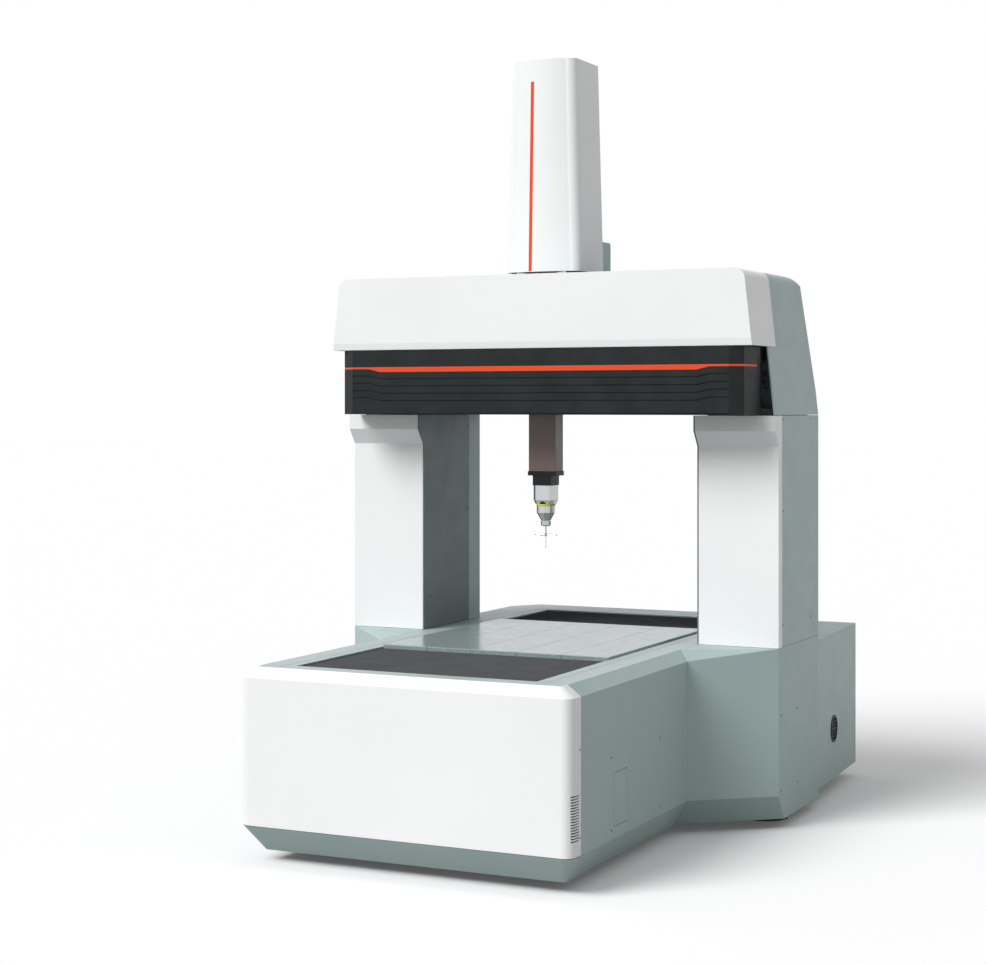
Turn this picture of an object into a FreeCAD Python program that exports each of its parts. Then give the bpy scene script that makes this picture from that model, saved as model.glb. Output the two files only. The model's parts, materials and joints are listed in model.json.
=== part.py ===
import FreeCAD, Part
import math
import os
from FreeCAD import Vector

# Fixed-bridge coordinate measuring machine with a moving table, in millimetres.
# Frame: +Z up, the operator stands on the -Y side and looks along +Y.
# Origin: on the floor, in the middle of the machine's width and depth.

# ---- Driving dimensions -------------------------------------------------------

# Overall
machine_depth = 2666.0
machine_width = 1883.0
sheet = 6.0                 # wall of the sheet and moulded covers
seam = 2.0                  # open joint between neighbouring covers
screw_head_radius = 4.0
screw_head_proud = 0.8
round_sides = 18            # facets of the small round pieces
mount_sides = 12
front_corner_facets = 8
tower_corner_facets = 6
tower_front_facets = 14
flatness = 1e-7             # how far off a plane a face's corners may lie
cutter_margin = 1.0         # how far a cutting shape runs past the face it cuts

# Base cladding
plinth_bottom_z = 40.0
plinth_top_z = 139.0
bevel_bottom_z = 673.0
base_top_z = 710.0
front_half_width = 654.0
front_corner_radius = 40.0
bevel_side_inset = 48.0
bevel_front_inset = 31.0
plinth_side_inset = 59.0
plinth_front_inset = 85.0
plinth_return = 18.0        # how far the front plinth wraps back
panel_overlap = 60.0        # how far the side panel runs in behind the wing
front_cover_depth = 83.0    # how far the front cover wraps round the sides
top_plate = 6.0
vent_count = 17
vent_length = 50.0
vent_height = 4.5
vent_pitch = 9.4
vent_first_z = 192.0
vent_edge = 18.0            # vents from the front cover's rear edge

# Table well and top frame
table_width = 950.0
well_side_gap = 3.0
well_half_width = table_width / 2 + well_side_gap
well_front_inset = 110.0
well_back_inset = 336.0
well_front_y = well_front_inset - machine_depth / 2
well_back_y = machine_depth / 2 - well_back_inset
frame_groove_offset = 40.0
frame_groove_width = 3.0
frame_groove_depth = 1.5

# Wings that carry the columns
wing_start_y = -219.5
wing_plinth_inset = 55.0

# Rear part of the base
rear_half_width = 699.0
rear_corner_inset = 255.5
rear_wall_inset = 128.0
rear_corner_y = machine_depth / 2 - rear_corner_inset
rear_wall_y = machine_depth / 2 - rear_wall_inset
rear_wall_half_width = 607.0

# Cabinet at the right rear
cabinet_front_half = 927.0
cabinet_back_half = 882.0
cabinet_bottom_z = 60.0
cabinet_top_z = 680.0
fan_y = 898.0
fan_z = 272.0
fan_ring_radius = 58.0
fan_ring_width = 9.0
fan_blade_count = 7
fan_hub_radius = 17.0
fan_depth = 24.0
fan_tip_clearance = 2.5
fan_setback = 6.0           # wheel behind the sheet
fan_ring_proud = 4.0
fan_duct_wall = 2.0
fan_duct_tail = 14.0
fan_wire = 3.0
fan_wire_rings = (0.36, 0.68)
fan_spokes = 4
fan_blade_chord = 20.0
fan_blade_thickness = 2.0
fan_blade_pitch = 35.0      # degrees
fan_blade_root = 4.0        # how deep a blade is set in the hub

# Service panel in the right side
panel_front_y = -960.5
panel_back_y = -836.5
panel_bottom_z = 180.0
panel_top_z = 369.0
panel_gap = 1.5

# Base casting and its mounts
bed_half_width = 540.0
bed_front_inset = 153.0
bed_back_inset = 193.0
bed_front_y = bed_front_inset - machine_depth / 2
bed_back_y = machine_depth / 2 - bed_back_inset
bed_bottom_z = 100.0
bed_top_z = 470.0
bed_wall = 70.0
bed_pocket_rows = 5
outrigger_front_y = 45.0
outrigger_back_y = 515.0
outrigger_end_gap = 36.5
outrigger_half_width = machine_width / 2 - outrigger_end_gap
outrigger_top_z = 695.0
mount_radius = 95.0
mount_neck_radius = 45.0
mount_pad_thickness = 14.0
mount_flange = 16.0
mount_cone_rise = 22.0
bed_mount_inset = 260.0     # mounts from the bed's ends
bed_mount_x = 430.0
outrigger_mount_inset = 105.0

# Table and its drive
table_length = 1050.0
table_top_z = 719.0
table_thickness = 95.0
table_rest_y = -51.5
table_strips = 5
table_joint = 1.6
table_edge_chamfer = 2.0
insert_radius = 3.4
insert_depth = 18.0
insert_rows = 4
insert_strips = (0, 4)
insert_pitch = 200.0
table_travel_front = 567.0
table_travel_back = 443.0
y_rail_centre_x = 350.0
y_rail_width = 100.0
y_rail_height = 60.0
air_gap = 0.2               # drawn gap at the air bearings
table_pad_thickness = 15.0
table_pad_length = 150.0
table_pad_offset = 400.0
saddle_half_width = 440.0
saddle_length = 1000.0
saddle_wall = 30.0
saddle_pockets = 3
y_screw_radius = 20.0
y_screw_height = 38.0       # screw axis above the bed
journal_step = 5.0
journal_clearance = 0.05
coupling_clearance = 1.0
nut_clearance = 0.5
nut_length = 120.0
nut_half_width = 45.0
bearing_thickness = 45.0
y_motor_half = 34.0
y_motor_length = 180.0

nut_lift = 3.0              # nut above the bed
bearing_drop = 4.0          # bearing's top under its full height
side_pad_thickness = 22.0
side_pad_drop = 45.0
pad_margin = 5.0            # pads inside their rails
rail_front_margin = 30.0
rail_back_margin = 40.0
scale_gap = 10.0
scale_width = 12.0
scale_height = 24.0
scale_end_margin = 60.0
beam_scale_height = 14.0
beam_scale_depth = 8.0
journal_end = 12.0
journal_drive_end = 45.0
bearing_gap = 4.0
motor_gap = 10.0
motor_hole_depth = 50.0

# Frame that carries the cladding
tube = 30.0
strut_inset = 40.0
wing_post_gap = 14.0
wing_strut_gap = 130.0
front_arm_x = 250.0
front_post_inset = 110.0
end_plate_rim = 60.0
frame_low_z = 230.0
frame_high_z = 600.0

# Pleated way covers
bellows_top_z = 705.0
bellows_depth = 18.0
bellows_pitch = 24.0
bellows_skin = 2.0
bellows_side_gap = 3.0
bellows_end_gap = 2.0

# Columns
column_inner_x = 608.0
column_front_y = 18.5
column_back_y = 552.0
column_flare_front_y = -27.0
column_flare_bottom_z = 1492.0
column_flare_top_z = 1553.0
column_top_z = 1614.0
column_front_wrap = 45.0    # outer return of the front cover
column_inner_seam_y = 443.0
column_core_gap = 32.0      # from the cover's face to the structural tube
column_core_wall = 30.0
core_end_gap = 4.0
core_socket = 60.0
column_core_margin = 4.0    # clearance round the tube where it passes the wing's top
carrier_ring_thickness = 12.0
carrier_ring_levels = (800.0, 1130.0, 1440.0)

# Bridge
bridge_top_z = 2176.0
bridge_top_half = 879.0
bridge_top_radius = 45.0
bridge_front_y = -218.5
bridge_front_bottom_z = 1881.0
bridge_lip_height = 27.0
bridge_lip_inset = 4.0
bridge_back_lean_z = 1714.0
bridge_back_top_y = 490.0
bridge_back_corner_z = 2140.0
bridge_back_corner_y = 400.0
bridge_side_seam_y = 78.0
bridge_top_seam_inset = 10.0
bridge_bottom_overlap = 20.0
bridge_top_wrap = 70.0      # how far the front cover comes over the top
beam_half_length = 868.0
beam_front_y = 160.0
beam_back_y = 470.0
beam_bottom_z = 1640.0
beam_top_z = 2080.0
beam_wall = 30.0
beam_channel_height = 70.0
beam_channel_depth = 75.0
x_screw_z = 1860.0
x_screw_radius = 12.5
x_rail_thickness = 12.0
x_rail_height = 90.0
rail_end_gap = 20.0
x_rail_offset = 115.0       # rail centre above and below the screw
top_rail_front_y = 200.0
top_rail_width = 90.0
x_nut_half = 24.0
x_nut_length = 70.0
x_motor_length = 150.0

# Fascia under the front cover
fascia_front_y = -217.5
fascia_half_width = 819.0
fascia_end_half_width = 892.0
fascia_corner_y = -190.0
fascia_corner_half_width = 872.0
fascia_bottom_z = 1616.0
fascia_wall = 5.0
fascia_return = 60.0
fascia_bottom_chamfer = 10.0
stripe_centre_z = 1800.0
stripe_height = 20.0
stripe_end_height = 8.0
stripe_taper_start = 690.0
stripe_taper_end = 740.0
stripe_depth = 1.5
stripe_reach = 130.0        # how far the stripe runs back round the fascia's ends
fascia_end_taper = 4.0
fascia_end_bend_y = -60.0
groove_end_margin = 3.0
groove_count = 4
groove_first_z = 1764.0
groove_pitch = 30.0
groove_height = 7.0
groove_depth = 4.0
groove_step = 12.0

# Carriage, tower and Z drive
carriage_rest_x = -57.0
carriage_half_travel = 455.0
carriage_half_width = 130.0
carriage_front_y = -30.0
carriage_bottom_z = 1660.0
carriage_top_z = 2150.0
hook_back_y = 310.0
hook_thickness = 44.0
neck_half_width = 110.0
neck_front_y = -5.0
neck_back_y = 242.0
neck_top_z = 2196.0
slot_clearance = 10.0
ram_pad_thickness = 12.0
ram_pad_height = 60.0
ram_pad_inset = 10.0
ram_pad_half_x = 40.0
ram_pad_half_y = 25.0
pad_width = 80.0
carriage_pad_thickness = 14.0
tower_bottom_z = 2198.0
tower_top_z = 3064.0
tower_half_width = 167.0
tower_front_y = -16.5
tower_back_y = 253.5
tower_taper = 24.0
tower_sagitta = 24.0
tower_corner = 40.0
tower_wall = 5.0
tower_stripe_width = 15.0
tower_stripe_offset = -45.0
tower_stripe_lean = 8.0
tower_stripe_top_z = 2975.0
cable_box_half_width = 160.0
cable_box_depth = 96.0
cable_box_top_z = 2333.0
cable_box_chamfer = 8.0
mast_half_width = 80.0
mast_front_y = 185.0
mast_thickness = 15.0
mast_top_z = 2930.0
z_screw_y = 140.0
z_screw_radius = 12.5
z_bracket_thickness = 24.0
z_screw_end_gap = 2.0
motor_hole_spare = 6.0
z_motor_half = 35.0
mast_rib_half = 8.0
mast_rib_depth = 22.0
bracket_side = 5.0
z_motor_height = 112.0

# Ram and probe
ram_width = 120.0
ram_depth = 78.0
ram_front_y = 3.5
ram_bottom_z = 1384.0
ram_length = 1200.0
ram_edge_chamfer = 2.0
ram_wall = 14.0
ram_travel_up = 260.0
ram_travel_down = 345.0
nut_block_height = 46.0
nut_block_back = 30.0       # nut block behind the screw's axis
flange_overhang = 2.5
flange_height = 18.0
block_size = 83.0
block_height = 40.0
block_depth = 79.0
head_width = 92.0
head_depth = 72.0
head_height = 76.0
head_corner = 15.0
head_wall = 4.0
head_cone_height = 16.0
head_foot_share = 0.84      # foot of the head's cone against its full plan
yellow_ring_radius = 40.0
yellow_ring_height = 8.0
yellow_ring_edge = 1.0
nose_radius = 38.0
nose_straight = 28.0
nose_cone = 32.0
nose_bottom_radius = 20.0
nose_wall = 3.5
collar_radius = 21.0
collar_height = 21.0
stem_radius = 3.0
stem_length = 36.0
cross_hub_radius = 6.0
stylus_arm_length = 46.0
stylus_arm_radius = 1.2
stylus_tip_drop = 48.0
ball_radius = 2.5
ball_bands = 5
ball_tip_share = 0.86       # where the ball's last flat facet begins
stem_sides = 8
collar_edge = 4.0
stage_clearance = 2.2       # room for the probe stages to deflect
stage_thickness = 8.0

# Visible screws of the covers, by height and by distance from the edge beside them
front_screw_levels = (200.0, 496.0)
side_screw_levels = (172.0, 425.0)
wing_screw_levels = (155.0, 449.0)
column_screw_levels = (796.0, 1241.0, 1598.0)
column_rear_screw_levels = (796.0, 1598.0)
inner_screw_levels = (844.0, 1200.0, 1560.0)
screw_edge = 12.0
panel_screw_gap = 24.0
wing_screw_gap = 290.0
wing_screw_pitch = 210.0
inner_front_screw_inset = 55.0

# ---- Derived values -----------------------------------------------------------

front_y = -machine_depth / 2
y_journal = y_screw_radius - journal_step
x_journal = x_screw_radius - journal_step * 0.6
z_journal = z_screw_radius - journal_step * 0.6
flange_bottom_z = ram_bottom_z - flange_height
block_bottom_z = flange_bottom_z - block_height
head_bottom_z = block_bottom_z - head_height
ring_bottom_z = head_bottom_z - yellow_ring_height
nose_bottom_z = ring_bottom_z - nose_straight - nose_cone
cabinet_back_y = machine_depth / 2
wing_half_width = machine_width / 2
front_seam_y = front_y + front_cover_depth
draft = (wing_half_width - bridge_top_half) / (bridge_top_z - column_top_z)
y_screw_z = bed_top_z + y_screw_height
rail_top_z = bed_top_z + y_rail_height
saddle_bottom_z = rail_top_z + air_gap + table_pad_thickness
table_bottom_z = table_top_z - table_thickness
ram_centre_y = ram_front_y + ram_depth / 2
ram_top_z = ram_bottom_z + ram_length
x_screw_y = beam_front_y + beam_channel_depth / 2
carriage_back_y = beam_front_y - x_rail_thickness - air_gap - carriage_pad_thickness
top_rail_z = beam_top_z + x_rail_thickness
far = 4000.0
big = 12000.0


# ---- Shape helpers ------------------------------------------------------------

def box(x0, x1, y0, y1, z0, z1):
    """Box between two corners."""
    return Part.makeBox(x1 - x0, y1 - y0, z1 - z0, Vector(x0, y0, z0))


def polygon(points):
    """Closed polygon wire through 3-D points."""
    corners = [Vector(*p) for p in points]
    return Part.makePolygon(corners + [corners[0]])


def prism_x(side, x0, x1):
    """Extrude (y, z) points along X."""
    return Part.Face(polygon([(x0, y, z) for y, z in side])).extrude(Vector(x1 - x0, 0, 0))


def prism_y(front, y0, y1):
    """Extrude (x, z) points along Y."""
    return Part.Face(polygon([(x, y0, z) for x, z in front])).extrude(Vector(0, y1 - y0, 0))


def prism_z(plan, z0, z1):
    """Extrude (x, y) points along Z."""
    return Part.Face(polygon([(x, y, z0) for x, y in plan])).extrude(Vector(0, 0, z1 - z0))


def rod_x(x0, x1, y, z, radius):
    """Round bar along X."""
    return Part.makeCylinder(radius, x1 - x0, Vector(x0, y, z), Vector(1, 0, 0))


def rod_y(x, y0, y1, z, radius):
    """Round bar along Y."""
    return Part.makeCylinder(radius, y1 - y0, Vector(x, y0, z), Vector(0, 1, 0))


def rod_z(x, y, z0, z1, radius):
    """Round bar along Z."""
    return Part.makeCylinder(radius, z1 - z0, Vector(x, y, z0), Vector(0, 0, 1))


def facet_corners(radius, centre, along, sides):
    """Corners of a regular polygon on a circle square to a direction."""
    side = along.cross(Vector(0, 0, 1)) if abs(along.z) < 0.9 else Vector(1, 0, 0)
    side.normalize()
    other = along.cross(side)
    other.normalize()
    angles = [2 * math.pi * i / sides for i in range(sides)]
    return [centre + (side * math.cos(angle) + other * math.sin(angle)) * radius for angle in angles]


def flat_face(points):
    """Face bounded by straight edges through the points."""
    return Part.Face(Part.makePolygon(points + points[:1]))


def skinned(rings):
    """Solid with flat faces through rings that have the same number of corners."""
    faces = [flat_face(rings[0]), flat_face(rings[-1])]
    for low, high in zip(rings, rings[1:]):
        for i, start in enumerate(low):
            j = (i + 1) % len(low)
            normal = (low[j] - start).cross(high[i] - start)
            if abs(normal.dot(high[j] - start)) < flatness * normal.Length:
                faces.append(flat_face([start, low[j], high[j], high[i]]))
            else:
                faces.append(flat_face([start, low[j], high[j]]))
                faces.append(flat_face([start, high[j], high[i]]))
    shell = Part.makeShell(faces)
    shell.sewShape()
    solid = Part.makeSolid(shell)
    if solid.Volume < 0:
        solid.reverse()
    return solid.removeSplitter()


def faceted(sections, start, along, sides=round_sides):
    """Turned piece with flat facets through (distance, radius) sections along a direction."""
    return skinned([facet_corners(radius, start + along * distance, along, sides)
                    for distance, radius in sections])


def bend(start, middle, end, facets):
    """Points along the arc through three points."""
    return Part.Arc(start, middle, end).toShape().discretize(Number=facets + 1)


def beyond(point, normal):
    """Everything on the outer side of a plane, as a large block."""
    block = Part.makeBox(big, big, big, Vector(-big / 2, -big / 2, 0))
    turn = FreeCAD.Rotation(Vector(0, 0, 1), normal)
    block.Placement = FreeCAD.Placement(Vector(*point), turn)
    return block


def plane_normal(a, b, c, outward):
    """Unit normal of the plane through three points, turned to the outward side."""
    a, b, c = Vector(*a), Vector(*b), Vector(*c)
    normal = (b - a).cross(c - a).normalize()
    return normal if normal.dot(Vector(*outward)) > 0 else normal * -1


def mirrored(shape):
    """The same shape on the other side of the machine's middle plane."""
    return shape.mirror(Vector(0, 0, 0), Vector(1, 0, 0))


def thick_profile(points, wall):
    """Close an open bent line with its parallel, which lies to the left of its direction."""
    inner = []
    count = len(points)
    for i, (x, y) in enumerate(points):
        normals = []
        for a, b in ((i - 1, i), (i, i + 1)):
            if a >= 0 and b < count:
                dx, dy = points[b][0] - points[a][0], points[b][1] - points[a][1]
                length = math.hypot(dx, dy)
                normals.append((-dy / length, dx / length))
        nx = sum(n[0] for n in normals)
        ny = sum(n[1] for n in normals)
        scale = wall / ((nx * normals[0][0]) + (ny * normals[0][1]))
        inner.append((x + nx * scale, y + ny * scale))
    return list(points) + inner[::-1]


def group(shapes):
    """Several separate solids in one node."""
    return Part.makeCompound(shapes)


def export(name, shape):
    """Write one node."""
    shape.exportStep(os.path.join("parts", name + ".step"))


# ---- Base cladding ------------------------------------------------------------

def front_plan(half, front, back, radius, z):
    """Plan outline of the rounded front of the base."""
    cut = radius * (1 - math.sqrt(0.5))
    left = bend(Vector(-half, front + radius, z), Vector(-half + cut, front + cut, z),
                Vector(-half + radius, front, z), front_corner_facets)
    right = [Vector(-point.x, point.y, z) for point in reversed(left)]
    return [Vector(-half, back, z)] + left + right + [Vector(half, back, z)]


def front_body(inset):
    """White front of the base: upright wall with a bevel round its top."""
    back = front_seam_y - seam / 2
    radius = front_corner_radius - inset
    wall = [front_plan(front_half_width - inset, front_y + inset, back, radius, z)
            for z in (plinth_top_z + seam / 2, bevel_bottom_z)]
    top = front_plan(front_half_width - bevel_side_inset - inset, front_y + bevel_front_inset + inset,
                     back, radius * 0.5, base_top_z)
    return skinned(wall + [top])


def front_cover():
    """Front cover with the ventilation slots in its right-hand wrap."""
    shell = front_body(0).cut(front_body(sheet))
    slot_front = front_seam_y - vent_edge - vent_length
    for i in range(vent_count):
        z = vent_first_z + i * vent_pitch
        cutter = box(front_half_width - 2 * sheet, front_half_width + cutter_margin, slot_front,
                     slot_front + vent_length, z, z + vent_height)
        shell = shell.cut(cutter)
    return shell


def plinth_body(inset):
    """Chamfered foot of the front."""
    back = front_y + plinth_front_inset + plinth_return
    radius = front_corner_radius - inset
    top = front_plan(front_half_width - inset, front_y + inset, back, radius, plinth_top_z - seam / 2)
    foot = front_plan(front_half_width - plinth_side_inset - inset, front_y + plinth_front_inset + inset,
                      back, radius * 0.25, plinth_bottom_z)
    return skinned([foot, top])


def front_plinth():
    """Gray chamfer band under the front cover."""
    return plinth_body(0).cut(plinth_body(sheet))


def side_section():
    """Bent section of the right side panel, from foot to top bevel."""
    points = [
        (front_half_width - plinth_side_inset, plinth_bottom_z),
        (front_half_width, plinth_top_z),
        (front_half_width, bevel_bottom_z),
        (front_half_width - bevel_side_inset, base_top_z),
    ]
    return thick_profile(points, sheet)


def side_interior():
    """Space inside the right side panel, run on past the wing."""
    count = len(side_section()) // 2
    inner = side_section()[count:]
    outline = [(0, inner[0][1]), *inner, (inner[-1][0], 0), (0, 0)]
    return prism_y(outline, front_y, 0)


def side_panel_shape():
    """Right side panel between the front cover and the wing."""
    back = wing_start_y + panel_overlap
    panel = prism_y(side_section(), front_seam_y + seam / 2, back)
    notch = box(0, far, front_seam_y, front_y + plinth_front_inset + plinth_return + seam,
                0, plinth_top_z + seam / 2)
    panel = panel.cut(notch)
    return panel.cut(wing_block(-seam))


def wing_block(inset):
    """Solid of one wing, from the side wall out to the column's outer face."""
    corner = (front_half_width, wing_start_y)
    outer = (wing_half_width, column_front_y)
    block = box(0, wing_half_width - inset, wing_start_y - 200.0, column_back_y,
                plinth_bottom_z, base_top_z - inset)
    wall = plane_normal((*corner, 0), (*outer, 0), (*outer, 100), (1, -1, 0))
    foot = (outer[0] - wall.x * wing_plinth_inset, outer[1] - wall.y * wing_plinth_inset)
    chamfer = plane_normal((*corner, plinth_top_z), (*outer, plinth_top_z), (*foot, plinth_bottom_z),
                           (1, -1, -1))
    ridge = (front_half_width - bevel_side_inset, wing_start_y + 50.0, base_top_z)
    facet = plane_normal(ridge, (*corner, bevel_bottom_z), (*outer, base_top_z), (0, 0, 1))
    faces = [((*corner, 0), wall), ((*corner, plinth_top_z), chamfer), ((*corner, bevel_bottom_z), facet)]
    for point, normal in faces:
        moved = Vector(*point) - normal * inset
        block = block.cut(beyond(moved, normal))
    return block


def wing_cover_shape():
    """Right wing cover: slanted front, outer side and flat top with a hole for the column."""
    inner = wing_block(sheet)
    inner = inner.cut(box(0, far, column_back_y - sheet, far, 0, far))
    rear_opening = box(0, rear_half_width, column_front_y, far, 0, base_top_z - sheet)
    shell = wing_block(0).cut(inner).cut(rear_opening).cut(side_interior())
    keep = box(front_half_width - bevel_side_inset + seam / 2, far, wing_start_y - 300.0, column_back_y,
               0, far)
    return shell.common(keep).cut(column_core_box(column_core_margin))


def column_core_box(extra):
    """Space of the right column's structural tube, grown by extra all round."""
    return box(column_inner_x + column_core_gap - extra, wing_half_width - column_core_gap - core_end_gap + extra,
               column_front_y + column_core_gap - extra, column_back_y - column_core_gap + extra,
               outrigger_top_z - core_socket, beam_bottom_z)


def rear_cover():
    """Rear wall of the base with its cut corners, wrapped to the columns on both sides."""
    side = [
        (-rear_half_width, column_back_y + seam),
        (-rear_half_width, rear_corner_y),
        (-rear_wall_half_width, rear_wall_y),
        (rear_wall_half_width, rear_wall_y),
        (rear_half_width, rear_corner_y),
        (rear_half_width, column_back_y + seam),
    ]
    return prism_z(thick_profile(side, -sheet), plinth_bottom_z, base_top_z - top_plate)


def cabinet_plan(inset):
    """Plan of the right rear cabinet."""
    inner = rear_half_width + seam
    front = column_back_y + seam
    outer_front = (cabinet_front_half - inset, front + inset)
    outer_back = (cabinet_back_half - inset, cabinet_back_y - inset)
    if inset:
        return [(inner + inset, front + inset), outer_front, outer_back, (inner + inset, cabinet_back_y - inset)]
    return [(inner, front), outer_front, outer_back, (inner, cabinet_back_y)]


def fan_axis():
    """Point on the cabinet's outer face at the fan's centre, and the outward direction there."""
    front = column_back_y + seam
    slope = (cabinet_back_half - cabinet_front_half) / (cabinet_back_y - front)
    x = cabinet_front_half + slope * (fan_y - front)
    return Vector(x, fan_y, fan_z), Vector(1, -slope, 0).normalize()


def fan_cylinder(radius, start, length):
    """Cylinder on the fan's axis, start measured inwards from the cabinet's face."""
    centre, out = fan_axis()
    return faceted([(0, radius), (length, radius)], centre - out * (start + length), out)


def rear_cabinet():
    """Closed sheet cabinet behind the right column, with the fan's hole in its side."""
    shell = prism_z(cabinet_plan(0), cabinet_bottom_z, cabinet_top_z)
    shell = shell.cut(prism_z(cabinet_plan(sheet), cabinet_bottom_z + sheet, cabinet_top_z - sheet))
    opening = fan_ring_radius - fan_ring_width + fan_duct_wall
    return shell.cut(fan_cylinder(opening, -cutter_margin, 3 * sheet))


def fan_ring():
    """Finger guard: outer ring, two inner rings and four spokes, and the duct behind it."""
    proud = fan_ring_proud
    inner = fan_ring_radius - fan_ring_width
    ring = fan_cylinder(fan_ring_radius, -proud, proud).cut(fan_cylinder(inner, -2 * proud, 4 * proud))
    duct_out = inner + fan_duct_wall
    duct_depth = sheet + fan_depth + fan_duct_tail
    duct = fan_cylinder(duct_out, 0.0, duct_depth).cut(
        fan_cylinder(inner, -cutter_margin, duct_depth + 2 * cutter_margin))
    guard = ring.fuse(duct)
    wire_size = fan_wire / 2
    for share in fan_wire_rings:
        wire = fan_cylinder(duct_out * share + wire_size, -fan_wire, fan_wire).cut(
            fan_cylinder(duct_out * share - wire_size, -2 * fan_wire, 4 * fan_wire))
        guard = guard.fuse(wire)
    centre, out = fan_axis()
    for i in range(fan_spokes):
        reach = duct_out + wire_size
        spoke = Part.makeBox(2 * reach, fan_wire, fan_wire, Vector(-reach, -wire_size, 0))
        spoke.rotate(Vector(0, 0, 0), Vector(0, 0, 1), 180.0 / fan_spokes * i)
        spoke.Placement = FreeCAD.Placement(centre, FreeCAD.Rotation(Vector(0, 0, 1), out)).multiply(
            spoke.Placement)
        guard = guard.fuse(spoke)
    return guard


def fan_rotor():
    """Axial fan wheel with pitched blades."""
    tip = fan_ring_radius - fan_ring_width - fan_tip_clearance
    start = sheet + fan_setback
    hub = fan_cylinder(fan_hub_radius, start, fan_depth)
    centre, out = fan_axis()
    seat = FreeCAD.Placement(centre - out * (start + fan_depth / 2), FreeCAD.Rotation(Vector(0, 0, 1), out))
    for i in range(fan_blade_count):
        root = fan_hub_radius - fan_blade_root
        chord, thick = fan_blade_chord, fan_blade_thickness
        blade = Part.makeBox(tip - root, chord, thick, Vector(root, -chord / 2, -thick / 2))
        blade.rotate(Vector(0, 0, 0), Vector(1, 0, 0), fan_blade_pitch)
        blade.rotate(Vector(0, 0, 0), Vector(0, 0, 1), 360.0 / fan_blade_count * i)
        blade.Placement = seat.multiply(blade.Placement)
        hub = hub.fuse(blade)
    limit = fan_cylinder(tip, start, fan_depth)
    return hub.common(limit)


def top_frame(neighbours):
    """Flat gray frame round the table well, in separate plates, with a groove along the well."""
    z0, z1 = base_top_z - top_plate, base_top_z
    half = well_half_width
    edge = front_half_width - bevel_side_inset - seam / 2
    front_plate = box(-edge, edge, front_y + bevel_front_inset, well_front_y, z0, z1)
    back_plate = prism_z(
        [(-rear_half_width, well_back_y + seam), (rear_half_width, well_back_y + seam),
         (rear_half_width, rear_corner_y), (rear_wall_half_width, rear_wall_y),
         (-rear_wall_half_width, rear_wall_y), (-rear_half_width, rear_corner_y)], z0, z1)
    strip = box(half, edge, well_front_y + seam, column_back_y, z0, z1)
    strip_back = box(half, rear_half_width, column_back_y + seam, well_back_y, z0, z1)
    plates = [front_plate, back_plate, strip, mirrored(strip), strip_back, mirrored(strip_back)]
    inner = frame_groove_offset
    outer = inner + frame_groove_width
    ring = box(-half - outer, half + outer, well_front_y - outer, well_back_y + outer,
               z1 - frame_groove_depth, z1 + 1.0)
    ring = ring.cut(box(-half - inner, half + inner, well_front_y - inner, well_back_y + inner, 0, far))
    result = []
    for plate in plates:
        for other in [ring] + neighbours:
            plate = plate.cut(other)
        result.append(max(plate.Solids, key=lambda solid: solid.Volume))
    return group(result)


def service_panel():
    """Small screwed panel in the right side, flush in its opening."""
    return box(front_half_width - sheet, front_half_width, panel_front_y + panel_gap,
               panel_back_y - panel_gap, panel_bottom_z + panel_gap, panel_top_z - panel_gap)


def service_opening():
    """Opening that the service panel closes."""
    return box(front_half_width - 2 * sheet, front_half_width + sheet, panel_front_y, panel_back_y,
               panel_bottom_z, panel_top_z)


# ---- Base structure -----------------------------------------------------------

def base_casting():
    """Bed with pockets underneath and two outriggers for the columns."""
    bed = box(-bed_half_width, bed_half_width, bed_front_y, bed_back_y, bed_bottom_z, bed_top_z)
    pitch = (bed_back_y - bed_front_y - bed_wall) / bed_pocket_rows
    for i in range(bed_pocket_rows):
        y = bed_front_y + bed_wall + i * pitch
        for side in (-1, 1):
            x0, x1 = sorted((side * bed_wall / 2, side * (bed_half_width - bed_wall)))
            bed = bed.cut(box(x0, x1, y, y + pitch - bed_wall, bed_bottom_z - 1.0, bed_top_z - bed_wall))
    arm = box(bed_half_width - bed_wall, outrigger_half_width, outrigger_front_y, outrigger_back_y,
              bed_bottom_z, bed_top_z)
    arm = arm.fuse(box(bed_half_width, outrigger_half_width, outrigger_front_y, outrigger_back_y,
                       bed_bottom_z, outrigger_top_z))
    return bed.fuse(arm).fuse(mirrored(arm)).removeSplitter()


def levelling_mount(x, y):
    """One levelling mount: broad foot, neck and top flange."""
    neck, flange = mount_neck_radius, mount_radius * 0.8
    shoulder = mount_pad_thickness + mount_cone_rise
    under_flange = bed_bottom_z - mount_flange
    sections = [(0, mount_radius), (mount_pad_thickness, mount_radius), (shoulder, neck),
                (under_flange, neck), (under_flange, flange), (bed_bottom_z, flange)]
    return faceted(sections, Vector(x, y, 0), Vector(0, 0, 1), mount_sides)


def levelling_mounts():
    """Four mounts under the bed and one under each outrigger."""
    middle = (outrigger_front_y + outrigger_back_y) / 2
    rows = (bed_front_y + bed_mount_inset, bed_back_y - bed_mount_inset)
    places = [(side * bed_mount_x, y) for side in (-1, 1) for y in rows]
    reach = outrigger_half_width - outrigger_mount_inset
    places += [(side * reach, middle) for side in (-1, 1)]
    return group([levelling_mount(x, y) for x, y in places])


def linear_scales():
    """Measuring scales of the table and of the carriage."""
    inner = y_rail_centre_x + y_rail_width / 2 + scale_gap
    y_scale = box(inner, inner + scale_width, bed_front_y + scale_end_margin, bed_back_y - scale_end_margin,
                  bed_top_z, bed_top_z + scale_height)
    scale_z = x_screw_z + x_rail_offset + x_rail_height / 2 + scale_gap
    half = beam_half_length - scale_end_margin
    x_scale = box(-half, half, beam_front_y - beam_scale_depth, beam_front_y, scale_z,
                  scale_z + beam_scale_height)
    return group([y_scale, x_scale])


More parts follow.
